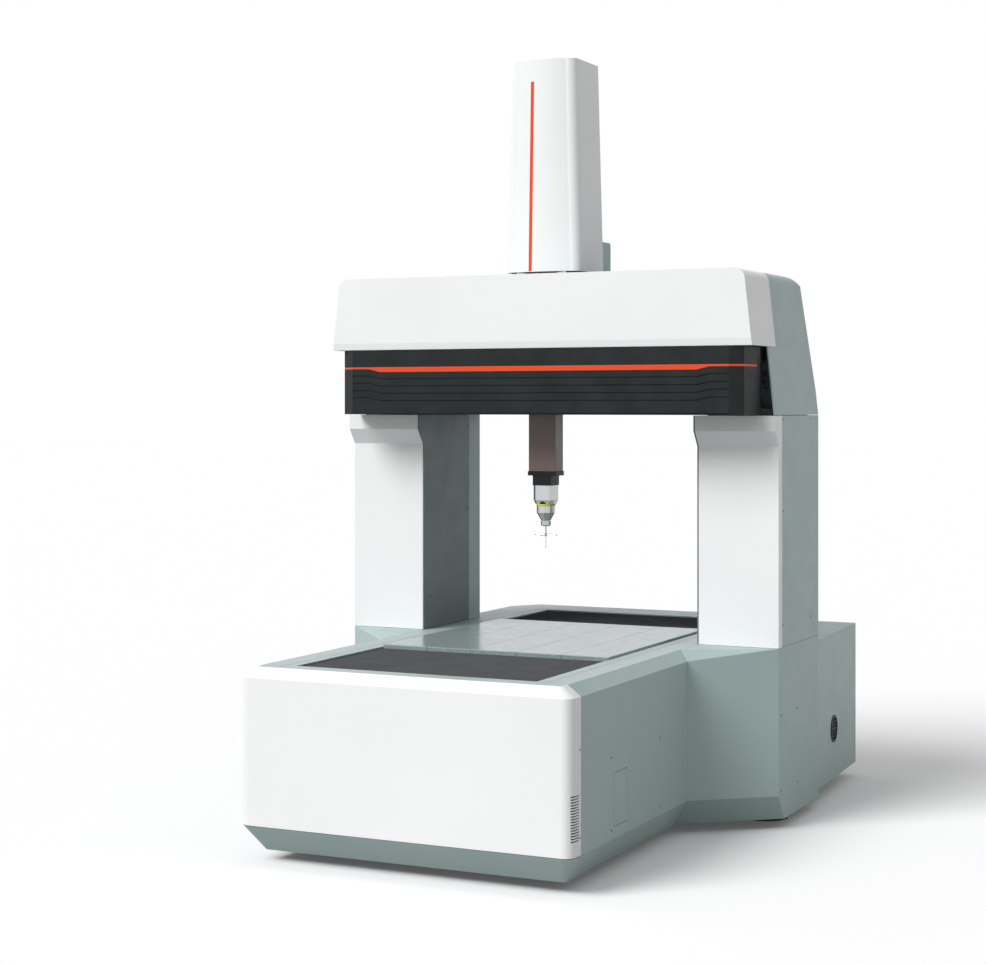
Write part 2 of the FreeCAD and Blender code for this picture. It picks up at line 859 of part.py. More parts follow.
def y_screw_span():
    """Ends of the table screw's threaded length."""
    reach = nut_length / 2 + 40.0
    return table_rest_y - table_travel_front - reach, table_rest_y + table_travel_back + reach


def x_screw_span():
    """Ends of the carriage screw's threaded length."""
    reach = carriage_half_travel + x_nut_length / 2 + 40.0
    return -reach, reach


def ball_screw(start, end, tail, drive, radius, journal, foot, along):
    """Screw from start to end along its axis, with a journal at each end."""
    sections = [(start - tail, journal), (start, journal), (start, radius), (end, radius), (end, journal),
                (end + drive, journal)]
    return faceted(sections, foot, along, round_sides // 2)


def y_screw():
    """Table ball screw with stepped journals and a coupling end."""
    start, end = y_screw_span()
    return ball_screw(start, end, bearing_thickness + journal_end, bearing_thickness + journal_drive_end,
                      y_screw_radius, y_journal, Vector(0, 0, y_screw_z), Vector(0, 1, 0))


def x_screw():
    """Carriage ball screw with stepped journals and a coupling end."""
    start, end = x_screw_span()
    return ball_screw(start, end, bearing_thickness + journal_end, bearing_thickness + journal_drive_end,
                      x_screw_radius, x_journal, Vector(0, x_screw_y, x_screw_z), Vector(1, 0, 0))


def screw_bearings():
    """Bearing blocks at both ends of the two screws."""
    blocks = []
    start, end = y_screw_span()
    for y in (start - bearing_thickness - bearing_gap, end + bearing_gap):
        block = box(-nut_half_width, nut_half_width, y, y + bearing_thickness, bed_top_z,
                    y_screw_z + y_screw_height - bearing_drop)
        blocks.append(block.cut(rod_y(0, y - 1.0, y + bearing_thickness + 1.0, y_screw_z,
                                      y_journal + journal_clearance)))
    start, end = x_screw_span()
    half = beam_channel_height / 2
    for x in (start - bearing_thickness - bearing_gap, end + bearing_gap):
        block = box(x, x + bearing_thickness, beam_front_y, beam_front_y + beam_channel_depth,
                    x_screw_z - half, x_screw_z + half)
        blocks.append(block.cut(rod_x(x - 1.0, x + bearing_thickness + 1.0, x_screw_y, x_screw_z,
                                      x_journal + journal_clearance)))
    return group(blocks)


def drive_motors():
    """Table and carriage motors, each with a hole for the screw's end."""
    start = y_screw_span()[1] + bearing_thickness + motor_gap
    y_motor = box(-y_motor_half, y_motor_half, start, start + y_motor_length, bed_top_z,
                  bed_top_z + 2 * y_motor_half)
    y_motor = y_motor.cut(rod_y(0, start - 1.0, start + motor_hole_depth, y_screw_z, y_journal + coupling_clearance))
    start = x_screw_span()[1] + bearing_thickness + motor_gap
    half = beam_channel_height / 2
    x_motor = box(start, start + x_motor_length, beam_front_y + 2.0, beam_front_y + beam_channel_depth,
                  x_screw_z - half + 2.0, x_screw_z + half)
    x_motor = x_motor.cut(rod_x(start - 1.0, start + motor_hole_depth, x_screw_y, x_screw_z,
                                x_journal + coupling_clearance))
    return group([y_motor, x_motor])


def frame_ring_bars(z):
    """Tubes of the cladding frame at one level: front bar and two side bars."""
    inner = front_half_width - sheet
    front = front_y + sheet
    bars = [box(-inner + front_corner_radius, inner - front_corner_radius, front, front + tube, z, z + tube)]
    side = box(inner - tube, inner, front + front_corner_radius, wing_start_y - wing_post_gap, z, z + tube)
    return bars + [side, mirrored(side)]


def cover_frame():
    """Square tubes that carry the base cladding, and the end plates that carry the bridge covers."""
    inner = front_half_width - sheet
    front = front_y + sheet
    low, high = frame_low_z, frame_high_z
    parts = frame_ring_bars(low) + frame_ring_bars(high)
    for y in (bed_front_y + strut_inset, wing_start_y - wing_strut_gap):
        strut = box(bed_half_width, inner - tube, y, y + tube, low, low + tube)
        parts += [strut, mirrored(strut)]
    arm = box(front_arm_x, front_arm_x + tube, front + tube, bed_front_y, low, low + tube)
    parts += [arm, mirrored(arm)]
    for y in (front + front_corner_radius, wing_start_y - wing_post_gap - tube):
        post = box(inner - tube, inner, y, y + tube, low + tube, high)
        parts += [post, mirrored(post)]
    post_x = front_half_width - front_post_inset
    post = box(post_x, post_x + tube, front, front + tube, low + tube, high)
    parts += [post, mirrored(post)]
    end_front = bridge_front_y + 3 * sheet
    plate = box(beam_half_length, beam_half_length + sheet, end_front, beam_back_y, bridge_front_bottom_z,
                beam_top_z)
    rim = end_plate_rim
    plate = plate.cut(box(0, far, end_front + rim, beam_front_y - rim / 2, bridge_front_bottom_z + rim,
                          beam_top_z - rim))
    return group(parts + [plate, mirrored(plate)])


# ---- Pleated covers -----------------------------------------------------------

def bellows(start, end):
    """Pleated cover across the well between two Y places, as one folded sheet."""
    count = max(2, round((end - start) / bellows_pitch))
    step = (end - start) / count
    top, low = bellows_top_z, bellows_top_z - bellows_depth
    upper = [(start, low)]
    for i in range(count):
        upper += [(start + (i + 0.5) * step, top), (start + (i + 1) * step, low)]
    lower = [(y, z - bellows_skin) for y, z in reversed(upper)]
    half = well_half_width - bellows_side_gap
    return prism_x(upper + lower, -half, half)


def front_bellows():
    """Way cover between the front of the well and the table."""
    return bellows(well_front_y + bellows_end_gap, table_rest_y - table_length / 2 - bellows_end_gap)


def rear_bellows():
    """Way cover between the table and the back of the well."""
    return bellows(table_rest_y + table_length / 2 + bellows_end_gap, well_back_y - bellows_end_gap)


# ---- Columns ------------------------------------------------------------------

def column_body(inset):
    """Right column's outer form with the forward flare under the bridge."""
    front, flare = column_front_y + inset, column_flare_front_y + inset
    bottom, top = base_top_z + seam / 2, column_top_z - seam / 2
    side = [
        (front, bottom), (front, column_flare_bottom_z), (flare, column_flare_top_z), (flare, top),
        (column_back_y - inset, top), (column_back_y - inset, bottom),
    ]
    return prism_x(side, column_inner_x + inset, wing_half_width - inset)


def column_covers():
    """Front, inner and side covers of the right column."""
    shell = column_body(0).cut(column_body(sheet))
    wrap_y = column_front_y + column_front_wrap
    middle = column_inner_x + sheet
    front = shell.common(box(middle, far, -far, wrap_y, 0, far))
    inner = shell.common(box(0, middle, -far, column_inner_seam_y - seam / 2, 0, far))
    side_zone = box(middle, far, wrap_y + seam / 2, far, 0, far).fuse(
        box(0, middle, column_inner_seam_y + seam / 2, far, 0, far))
    side = shell.common(side_zone)
    return front, inner, side.removeSplitter()


def column_castings():
    """Structural tubes of both columns with the rings that carry the covers."""
    outer = column_core_box(0).cut(box(-far, far, -far, far, 0, outrigger_top_z))
    bounds = outer.BoundBox
    wall = column_core_wall
    hollow = box(bounds.XMin + wall, bounds.XMax - wall, bounds.YMin + wall, bounds.YMax - wall,
                 outrigger_top_z + wall, beam_bottom_z - wall)
    core = outer
    for z in carrier_ring_levels:
        ring = box(column_inner_x + sheet, wing_half_width - sheet, column_front_y + sheet,
                   column_back_y - sheet, z, z + carrier_ring_thickness)
        core = core.fuse(ring)
    core = core.cut(hollow)
    return group([core, mirrored(core)])


# ---- Bridge -------------------------------------------------------------------

def bridge_half(z, inset=0.0):
    """Half width of the bridge at a height."""
    return wing_half_width - draft * (z - column_top_z) - inset


def bridge_body(inset):
    """Outer form of the bridge covers: drafted sides, rounded top edges, back leaning forward."""
    bottom = column_top_z + seam / 2
    top = bridge_top_z - inset
    radius = bridge_top_radius - inset
    corner_z = top - radius
    half_corner = bridge_half(corner_z, inset)
    y = bridge_front_y + inset
    low = Vector(bridge_half(bottom, inset), y, bottom)
    side = Vector(half_corner, y, corner_z)
    shoulder = Vector(half_corner - radius, y, top)
    bend = radius * math.sqrt(0.5)
    middle = Vector(half_corner - radius + bend, y, corner_z + bend)
    flip = [Vector(-v.x, v.y, v.z) for v in (low, side, middle, shoulder)]
    edges = [
        Part.LineSegment(low, side), Part.Arc(side, middle, shoulder), Part.LineSegment(shoulder, flip[3]),
        Part.Arc(flip[3], flip[2], flip[1]), Part.LineSegment(flip[1], flip[0]), Part.LineSegment(flip[0], low),
    ]
    section = Part.Face(Part.Wire([edge.toShape() for edge in edges]))
    body = section.extrude(Vector(0, column_back_y - inset - y, 0))
    lean_rise, lean_run = bridge_back_corner_z - bridge_back_lean_z, column_back_y - bridge_back_top_y
    lean = Vector(0, lean_rise, lean_run).normalize()
    body = body.cut(beyond(Vector(0, column_back_y, bridge_back_lean_z) - lean * inset, lean))
    drop, run = bridge_top_z - bridge_back_corner_z, bridge_back_top_y - bridge_back_corner_y
    corner = Vector(0, drop, run).normalize()
    body = body.cut(beyond(Vector(0, bridge_back_top_y, bridge_back_corner_z) - corner * inset, corner))
    lip_top = bridge_front_bottom_z + bridge_lip_height
    lip = Vector(0, -bridge_lip_height, -bridge_lip_inset).normalize()
    return body.cut(beyond(Vector(0, bridge_front_y, lip_top) - lip * inset, lip))


def bridge_covers():
    """Front, right side and rear-with-top covers of the bridge."""
    shell = bridge_body(0).cut(bridge_body(sheet))
    shell = shell.cut(box(-far, far, -far, column_flare_front_y, 0, bridge_front_bottom_z))
    shoulder = bridge_half(bridge_top_z) - bridge_top_radius - bridge_top_seam_inset
    seam_y = bridge_side_seam_y
    top_low = bridge_top_z - 1.5 * sheet
    top_zone = box(-shoulder, shoulder, bridge_front_y + bridge_top_wrap, far, top_low, far)
    back_zone = box(-shoulder, shoulder, beam_front_y, far, 0, top_low)
    front_zone = box(-far, far, -far, seam_y - seam / 2, bridge_front_bottom_z, far)
    side_zone = box(shoulder + seam, far, seam_y + seam / 2, far, 0, far).fuse(
        box(shoulder + seam, far, column_flare_front_y, seam_y + seam, 0, bridge_front_bottom_z - seam / 2))
    gap_zone = box(-shoulder - seam, shoulder + seam, bridge_front_y + bridge_top_wrap - seam, far, top_low, far)
    front = shell.common(front_zone).cut(gap_zone)
    side = shell.common(side_zone).cut(front_zone)
    rear = shell.common(top_zone.fuse(back_zone))
    reach = carriage_half_travel + neck_half_width + slot_clearance
    rear = rear.cut(box(-reach, reach, neck_front_y - slot_clearance, neck_back_y + slot_clearance, top_low, far))
    return front, side.removeSplitter(), rear.removeSplitter()


def bridge_bottom_cover():
    """Underside between the columns, with the slot that the ram comes through."""
    z0 = column_top_z + seam
    reach = carriage_half_travel + ram_width / 2 + flange_overhang + slot_clearance
    slot_half = ram_depth / 2 + flange_overhang + slot_clearance
    half = column_inner_x + bridge_bottom_overlap
    plate = box(-half, half, fascia_front_y + fascia_return + seam, column_back_y - sheet - seam, z0,
                z0 + sheet)
    return plate.cut(box(-reach, reach, ram_centre_y - slot_half, ram_centre_y + slot_half, 0, far))


def beam_and_channel():
    """Cross beam: hollow box with the drive screw's channel along its front."""
    beam = box(-beam_half_length, beam_half_length, beam_front_y, beam_back_y, beam_bottom_z, beam_top_z)
    half = beam_channel_height / 2
    channel_back = beam_front_y + beam_channel_depth
    beam = beam.cut(box(-far, far, 0, channel_back, x_screw_z - half, x_screw_z + half))
    return beam.cut(box(-beam_half_length + beam_wall, beam_half_length - beam_wall, channel_back + beam_wall,
                        beam_back_y - beam_wall, beam_bottom_z + beam_wall, beam_top_z - beam_wall))


def guideways():
    """Ground guideways: two on the bed, two on the beam's front and one on its top."""
    rail = box(y_rail_centre_x - y_rail_width / 2, y_rail_centre_x + y_rail_width / 2,
               bed_front_y + rail_front_margin, bed_back_y - rail_back_margin, bed_top_z, rail_top_z)
    rails = [rail, mirrored(rail)]
    length = beam_half_length - rail_end_gap
    for side in (-1, 1):
        z = x_screw_z + side * x_rail_offset
        rails.append(box(-length, length, beam_front_y - x_rail_thickness, beam_front_y,
                         z - x_rail_height / 2, z + x_rail_height / 2))
    rails.append(box(-length, length, top_rail_front_y, top_rail_front_y + top_rail_width, beam_top_z,
                     top_rail_z))
    return group(rails)


# ---- Fascia -------------------------------------------------------------------

def fascia_plan(inset):
    """Plan of the fascia's outside, moved inwards by inset."""
    half = [
        (fascia_end_half_width - fascia_end_taper, column_flare_front_y - seam),
        (fascia_end_half_width, fascia_end_bend_y),
        (fascia_corner_half_width, fascia_corner_y), (fascia_half_width, fascia_front_y),
    ]
    line = half + [(-x, y) for x, y in reversed(half)]
    return thick_profile(line, -inset)


def stripe_zone():
    """Front view of the orange stripe: full height in the middle, tapering towards the ends."""
    top = stripe_centre_z + stripe_height / 2
    low, end_low = top - stripe_height, top - stripe_end_height
    half = [(stripe_taper_start, low), (stripe_taper_end, end_low), (far, end_low), (far, top)]
    outline = half + [(-x, z) for x, z in reversed(half)]
    return prism_y(outline, -far, fascia_front_y + stripe_reach)


def groove_outline(z):
    """Front view of one groove, which steps up near both ends."""
    edge = fascia_half_width - groove_end_margin
    half = [
        (stripe_taper_start, z), (stripe_taper_end, z + groove_step), (edge, z + groove_step),
        (edge, z + groove_step - groove_height), (stripe_taper_end, z + groove_step - groove_height),
        (stripe_taper_start, z - groove_height),
    ]
    return half + [(-x, z) for x, z in reversed(half)]


def fascia_and_stripe():
    """Black ribbed fascia and the stripe that lies flush in it."""
    top, bottom = bridge_front_bottom_z - seam, fascia_bottom_z
    wall = prism_z(fascia_plan(fascia_wall), bottom, top)
    floor = prism_z(fascia_plan(fascia_wall)[:8], bottom, bottom + fascia_wall)
    floor = floor.common(box(-far, far, -far, fascia_front_y + fascia_return, 0, far))
    body = wall.fuse(floor)
    chamfer = fascia_bottom_chamfer
    past = cutter_margin
    edge_cut = prism_x([(fascia_front_y - past, bottom - past), (fascia_front_y + chamfer * 0.6, bottom - past),
                        (fascia_front_y + chamfer * 0.4, bottom), (fascia_front_y - past, bottom + chamfer)],
                       -far, far)
    body = body.cut(edge_cut)
    for i in range(groove_count):
        outline = groove_outline(groove_first_z - i * groove_pitch)
        body = body.cut(prism_y(outline, fascia_front_y - cutter_margin, fascia_front_y + groove_depth))
    skin = prism_z(fascia_plan(stripe_depth), bottom, top)
    stripe = skin.common(stripe_zone())
    return body.cut(stripe), stripe


# ---- Screws in the covers -----------------------------------------------------

def screw_head(x, y, z, direction):
    """Low hexagon head standing on a cover's face."""
    return faceted([(0, screw_head_radius), (screw_head_proud, screw_head_radius)], Vector(x, y, z),
                   Vector(direction, 0, 0), 6)


def cover_screws():
    """Visible screws of the side panels, wings and columns, the same on both sides."""
    side_x, outer_x, inner_x = front_half_width, wing_half_width, column_inner_x
    wrap_y = column_front_y + column_front_wrap
    rows = [(side_x, front_seam_y - screw_edge, front_screw_levels, 1),
            (side_x, panel_front_y - panel_screw_gap, side_screw_levels, 1),
            (side_x, wing_start_y - wing_screw_gap, side_screw_levels, 1),
            (outer_x, wrap_y - screw_edge, wing_screw_levels, 1),
            (outer_x, wrap_y - screw_edge + wing_screw_pitch, wing_screw_levels, 1),
            (outer_x, wrap_y + screw_edge, column_screw_levels, 1),
            (outer_x, column_inner_seam_y, column_rear_screw_levels, 1),
            (inner_x, column_inner_seam_y - screw_edge, inner_screw_levels, -1),
            (inner_x, column_front_y + inner_front_screw_inset, inner_screw_levels[:1], -1)]
    heads = [screw_head(x, y, z, way) for x, y, levels, way in rows for z in levels]
    return group(heads + [mirrored(head) for head in heads])


# ---- Table --------------------------------------------------------------------

def table_top():
    """Five granite strips side by side with chamfered ends and rows of tapped inserts."""
    pitch = table_width / table_strips
    front = table_rest_y - table_length / 2
    strips = []
    for i in range(table_strips):
        x0 = -table_width / 2 + i * pitch + (table_joint / 2 if i else 0)
        x1 = -table_width / 2 + (i + 1) * pitch - (table_joint / 2 if i < table_strips - 1 else 0)
        cut = table_edge_chamfer
        section = [
            (front, table_bottom_z), (front, table_top_z - cut), (front + cut, table_top_z),
            (front + table_length - cut, table_top_z), (front + table_length, table_top_z - cut),
            (front + table_length, table_bottom_z),
        ]
        strip = prism_x(section, x0, x1)
        for row in range(insert_rows if i in insert_strips else 0):
            y = table_rest_y + (row - (insert_rows - 1) / 2) * insert_pitch
            strip = strip.cut(rod_z(-table_width / 2 + (i + 0.5) * pitch, y, table_top_z - insert_depth,
                                    table_top_z + cutter_margin, insert_radius))
        strips.append(strip)
    return group(strips)


def saddle():
    """Table carrier: plate with a skirt of ribs, open underneath between them."""
    front = table_rest_y - saddle_length / 2
    body = box(-saddle_half_width, saddle_half_width, front, front + saddle_length, saddle_bottom_z,
               table_bottom_z)
    wall = saddle_wall
    outer, inner = y_rail_centre_x - y_rail_width / 2 - wall, nut_half_width + wall
    span = (saddle_length - (saddle_pockets + 1) * wall) / saddle_pockets
    for x0, x1 in ((-outer, -inner), (inner, outer)):
        for i in range(saddle_pockets):
            y = front + wall + i * (span + wall)
            body = body.cut(box(x0, x1, y, y + span, 0, table_bottom_z - wall))
    return body


def table_air_pads():
    """Air bearings between the saddle and the two guideways: above and against the inner sides."""
    pads = []
    inner = y_rail_centre_x - y_rail_width / 2 - air_gap
    for y in (table_rest_y - table_pad_offset, table_rest_y + table_pad_offset):
        y0, y1 = y - table_pad_length / 2, y + table_pad_length / 2
        half = y_rail_width / 2 - pad_margin
        pad = box(y_rail_centre_x - half, y_rail_centre_x + half, y0, y1, rail_top_z + air_gap,
                  saddle_bottom_z)
        side = box(inner - side_pad_thickness, inner, y0, y1, rail_top_z - side_pad_drop, saddle_bottom_z)
        pads += [pad, mirrored(pad), side, mirrored(side)]
    return group(pads)


def y_nut():
    """Ball nut block under the saddle."""
    half = nut_length / 2
    block = box(-nut_half_width, nut_half_width, table_rest_y - half, table_rest_y + half,
                bed_top_z + nut_lift, saddle_bottom_z)
    return block.cut(rod_y(0, table_rest_y - half - 1.0, table_rest_y + half + 1.0, y_screw_z,
                           y_screw_radius + nut_clearance))


# ---- Carriage and tower -------------------------------------------------------

def at_carriage(shape):
    """Move a shape drawn about the carriage's middle to its place at rest."""
    return shape.translated(Vector(carriage_rest_x, 0, 0))


def ram_tunnel(z0, z1):
    """Space round the ram inside the carriage."""
    half_x = ram_width / 2 + ram_pad_thickness
    half_y = ram_depth / 2 + ram_pad_thickness
    return box(-half_x, half_x, ram_centre_y - half_y, ram_centre_y + half_y, z0, z1)


def carriage():
    """Carriage casting: box round the ram, hook over the beam and neck through the bridge top."""
    half = carriage_half_width
    body = box(-half, half, carriage_front_y, carriage_back_y, carriage_bottom_z, carriage_top_z)
    hook = box(-half, half, carriage_back_y, hook_back_y, carriage_top_z - hook_thickness, carriage_top_z)
    neck = box(-neck_half_width, neck_half_width, neck_front_y, neck_back_y, carriage_top_z, neck_top_z)
    body = body.fuse(hook).fuse(neck).cut(ram_tunnel(0, far))
    return at_carriage(body.removeSplitter())


def carriage_air_pads():
    """Air bearings of the carriage on the beam's rails and of the ram in the carriage."""
    pads = []
    x_mid = carriage_half_width - pad_width / 2 - pad_margin
    for side in (-1, 1):
        x0, x1 = side * x_mid - pad_width / 2, side * x_mid + pad_width / 2
        for end in (-1, 1):
            z = x_screw_z + end * x_rail_offset
            pads.append(box(x0, x1, carriage_back_y, beam_front_y - x_rail_thickness - air_gap,
                            z - x_rail_height / 2 + pad_margin, z + x_rail_height / 2 - pad_margin))
        pads.append(box(x0, x1, top_rail_front_y + pad_margin, top_rail_front_y + top_rail_width - pad_margin,
                        top_rail_z + air_gap, carriage_top_z - hook_thickness))
    half_x, half_y = ram_width / 2, ram_depth / 2
    thick = ram_pad_thickness
    for z in (carriage_bottom_z + ram_pad_inset, carriage_top_z - ram_pad_inset - ram_pad_height):
        for side in (-1, 1):
            x0, x1 = sorted((side * (half_x + air_gap), side * (half_x + thick)))
            pads.append(box(x0, x1, ram_centre_y - ram_pad_half_y, ram_centre_y + ram_pad_half_y, z,
                            z + ram_pad_height))
            y0, y1 = sorted((side * (half_y + air_gap), side * (half_y + thick)))
            pads.append(box(-ram_pad_half_x, ram_pad_half_x, ram_centre_y + y0, ram_centre_y + y1, z,
                            z + ram_pad_height))
    return at_carriage(group(pads))


def x_nut():
    """Ball nut with its arm, reaching into the beam's channel."""
    half = x_nut_length / 2
    block = box(-half, half, carriage_back_y, x_screw_y + x_nut_half, x_screw_z - x_nut_half,
                x_screw_z + x_nut_half)
    block = block.cut(rod_x(-half - 1.0, half + 1.0, x_screw_y, x_screw_z, x_screw_radius + nut_clearance))
    return at_carriage(block)


def tower_plan(z, share, inset):
    """Plan of the tower cover with its bowed front; share runs from 0 at the foot to 1 at the top."""
    half = tower_half_width - tower_taper * share - inset
    back = tower_back_y - inset
    apex = tower_front_y + tower_taper * 0.3 * share + inset
    corner = tower_corner - inset
    shoulder = Vector(-half + corner, apex + tower_sagitta * 0.7, z)
    side = Vector(-half, shoulder.y + corner * 0.8, z)
    turn = bend(side, Vector(-half + corner * 0.32, shoulder.y + corner * 0.24, z), shoulder,
                tower_corner_facets)
    bow = bend(shoulder, Vector(0, apex, z), Vector(-shoulder.x, shoulder.y, z), tower_front_facets)
    other = [Vector(-point.x, point.y, z) for point in reversed(turn)]
    return [Vector(-half, back, z)] + turn + bow[1:-1] + other + [Vector(half, back, z)]


def tower_body(inset):
    """Tapering tower, moved inwards by inset on its sides and top."""
    return skinned([tower_plan(tower_bottom_z, 0.0, inset), tower_plan(tower_top_z - inset, 1.0, inset)])


def tower_cover_and_stripe():
    """Tall tower cover, closed at the top, and the orange stripe that lies flush in its front."""
    foot_x, top_x = tower_stripe_offset, tower_stripe_offset + tower_stripe_lean
    half = tower_stripe_width / 2
    outline = [(foot_x - half, tower_bottom_z + seam), (foot_x + half, tower_bottom_z + seam),
               (top_x + half, tower_stripe_top_z), (top_x - half, tower_stripe_top_z)]
    zone = prism_y(outline, -far, ram_centre_y)
    stripe = tower_body(0).common(zone).cut(tower_body(stripe_depth))
    shell = tower_body(0).cut(tower_body(tower_wall)).cut(stripe)
    return at_carriage(shell), at_carriage(stripe)


def cable_box():
    """Low cable housing on the tower's back."""
    half = cable_box_half_width
    front, back = tower_back_y + seam, tower_back_y + cable_box_depth
    cut = cable_box_chamfer
    side = [(front, tower_bottom_z), (back, tower_bottom_z), (back, cable_box_top_z - cut),
            (back - cut, cable_box_top_z), (front, cable_box_top_z)]
    shell = prism_x(side, -half, half)
    return at_carriage(shell.cut(box(-half + sheet, half - sheet, 0, back - sheet, 0,
                                     cable_box_top_z - cut - sheet)))


def z_mast():
    """Mast on the carriage's neck with the two bearing brackets of the ram's screw."""
    half = mast_half_width
    mast = box(-half, half, mast_front_y, mast_front_y + mast_thickness, neck_top_z, mast_top_z)
    rib_front = mast_front_y + mast_thickness
    rib = box(-mast_rib_half, mast_rib_half, rib_front, rib_front + mast_rib_depth, neck_top_z, mast_top_z)
    mast = mast.fuse(rib)
    bracket_front = z_screw_y - z_motor_half
    for z in (neck_top_z, mast_top_z - z_bracket_thickness):
        half = z_motor_half + bracket_side
        mast = mast.fuse(box(-half, half, bracket_front, mast_front_y, z, z + z_bracket_thickness))
    bore = rod_z(0, z_screw_y, neck_top_z + z_screw_end_gap, far, z_journal + journal_clearance)
    return at_carriage(mast.cut(bore).removeSplitter())


def z_motor():
    """Ram motor on top of the mast, with a hole for the screw's end."""
    half = z_motor_half
    body = box(-half, half, z_screw_y - half, z_screw_y + half, mast_top_z, mast_top_z + z_motor_height)
    hole = rod_z(0, z_screw_y, mast_top_z - cutter_margin, mast_top_z + motor_hole_depth,
                 z_journal + coupling_clearance)
    return at_carriage(body.cut(hole))


def z_screw():
    """Ball screw of the ram with stepped journals."""
    low = neck_top_z + z_bracket_thickness + z_screw_end_gap
    high = mast_top_z - z_bracket_thickness - z_screw_end_gap
    tail = z_bracket_thickness - z_screw_end_gap
    drive = z_bracket_thickness + z_screw_end_gap + motor_hole_depth - motor_hole_spare
    return at_carriage(ball_screw(low, high, tail, drive, z_screw_radius, z_journal,
                                  Vector(0, z_screw_y, 0), Vector(0, 0, 1)))


# ---- Ram and probe ------------------------------------------------------------

def ram():
    """Square ceramic ram, hollow, with chamfered edges."""
    half_x, half_y, cut = ram_width / 2, ram_depth / 2, ram_edge_chamfer
    plan = [
        (-half_x + cut, -half_y), (half_x - cut, -half_y), (half_x, -half_y + cut), (half_x, half_y - cut),
        (half_x - cut, half_y), (-half_x + cut, half_y), (-half_x, half_y - cut), (-half_x, -half_y + cut),
    ]
    body = prism_z([(x, y + ram_centre_y) for x, y in plan], ram_bottom_z, ram_top_z)
    bore = box(-half_x + ram_wall, half_x - ram_wall, ram_centre_y - half_y + ram_wall,
               ram_centre_y + half_y - ram_wall, ram_bottom_z + ram_wall, ram_top_z + 1.0)
    return at_carriage(body.cut(bore))


def z_nut():
    """Nut bracket bolted across the top of the ram."""
    half = nut_half_width
    top = ram_top_z + nut_block_height
    block = box(-half, half, ram_front_y, z_screw_y + nut_block_back, ram_top_z, top)
    return at_carriage(block.cut(rod_z(0, z_screw_y, ram_top_z - cutter_margin, top + cutter_margin,
                                       z_screw_radius + nut_clearance)))


def probe_adapter():
    """Black flange and block that carry the probe head."""
    half_x, half_y = ram_width / 2 + flange_overhang, ram_depth / 2 + flange_overhang
    flange = box(-half_x, half_x, ram_centre_y - half_y, ram_centre_y + half_y, flange_bottom_z, ram_bottom_z)
    half = block_size / 2
    slim = block_depth / 2
    block = box(-half, half, ram_centre_y - slim, ram_centre_y + slim, block_bottom_z, flange_bottom_z)
    return at_carriage(flange.fuse(block))


def head_plan(inset):
    """Plan of the probe head: a box with cut upright corners."""
    half_x, half_y, cut = head_width / 2 - inset, head_depth / 2 - inset, head_corner - inset * 0.6
    return [(x, y + ram_centre_y) for x, y in (
        (-half_x + cut, -half_y), (half_x - cut, -half_y), (half_x, -half_y + cut), (half_x, half_y - cut),
        (half_x - cut, half_y), (-half_x + cut, half_y), (-half_x, half_y - cut), (-half_x, -half_y + cut))]


def probe_head():
    """Silver probe head body, hollow, narrowed in a cone to the yellow ring at its foot."""
    body = prism_z(head_plan(0), head_bottom_z + head_cone_height, block_bottom_z)
    foot = [(x * head_foot_share, ram_centre_y + (y - ram_centre_y) * head_foot_share)
            for x, y in head_plan(0)]
    body = body.fuse(skinned([[Vector(x, y, head_bottom_z) for x, y in foot],
                              [Vector(x, y, head_bottom_z + head_cone_height) for x, y in head_plan(0)]]))
    cavity = prism_z(head_plan(head_wall), head_bottom_z + head_cone_height, block_bottom_z - head_wall)
    mouth = turned([(0, nose_radius - nose_wall), (head_cone_height, nose_radius - nose_wall)],
                   head_bottom_z)
    return at_carriage(body.cut(cavity).cut(mouth))


def turned(sections, low):
    """Faceted piece about the probe's axis, through (height above low, radius) sections."""
    return faceted(sections, Vector(0, ram_centre_y, low), Vector(0, 0, 1))


def probe_ring():
    """Yellow locking ring under the head."""
    height, edge = yellow_ring_height, yellow_ring_edge
    ring = turned([(0, yellow_ring_radius - edge), (edge, yellow_ring_radius), (height - edge, yellow_ring_radius),
                   (height, yellow_ring_radius - edge)], ring_bottom_z)
    bore = nose_radius - nose_wall
    return at_carriage(ring.cut(turned([(0, bore), (height, bore)], ring_bottom_z)))


def probe_nose():
    """Straight then conical nose with the stylus holder's opening at its foot."""
    cone, full = nose_cone, nose_cone + nose_straight
    outside = turned([(0, nose_bottom_radius), (cone, nose_radius), (full, nose_radius)], nose_bottom_z)
    wall = nose_wall
    inside = turned([(0, nose_bottom_radius - wall), (wall, nose_bottom_radius - wall),
                     (cone, nose_radius - wall), (full, nose_radius - wall)], nose_bottom_z)
    return at_carriage(outside.cut(inside))


def probe_x_stage():
    """First sprung stage inside the nose: plate that shifts along X."""
    radius = nose_radius - nose_wall - stage_clearance
    return at_carriage(turned([(0, radius), (stage_thickness, radius)], ring_bottom_z - stage_thickness))


def probe_y_stage():
    """Second sprung stage: plate that shifts along Y under the first."""
    radius = nose_radius - nose_wall - 2 * stage_clearance
    low = ring_bottom_z - 2 * stage_thickness - stage_clearance
    return at_carriage(turned([(0, radius), (stage_thickness, radius)], low))


def stylus_hub():
    """Centre of the star that holds the five stems."""
    return Vector(0, ram_centre_y, nose_bottom_z - stage_clearance - collar_height - stem_length)


def stylus_stems():
    """Direction and length of each stem."""
    reach = stylus_arm_length
    return [(Vector(1, 0, 0), reach), (Vector(-1, 0, 0), reach), (Vector(0, 1, 0), reach),
            (Vector(0, -1, 0), reach), (Vector(0, 0, -1), stylus_tip_drop)]


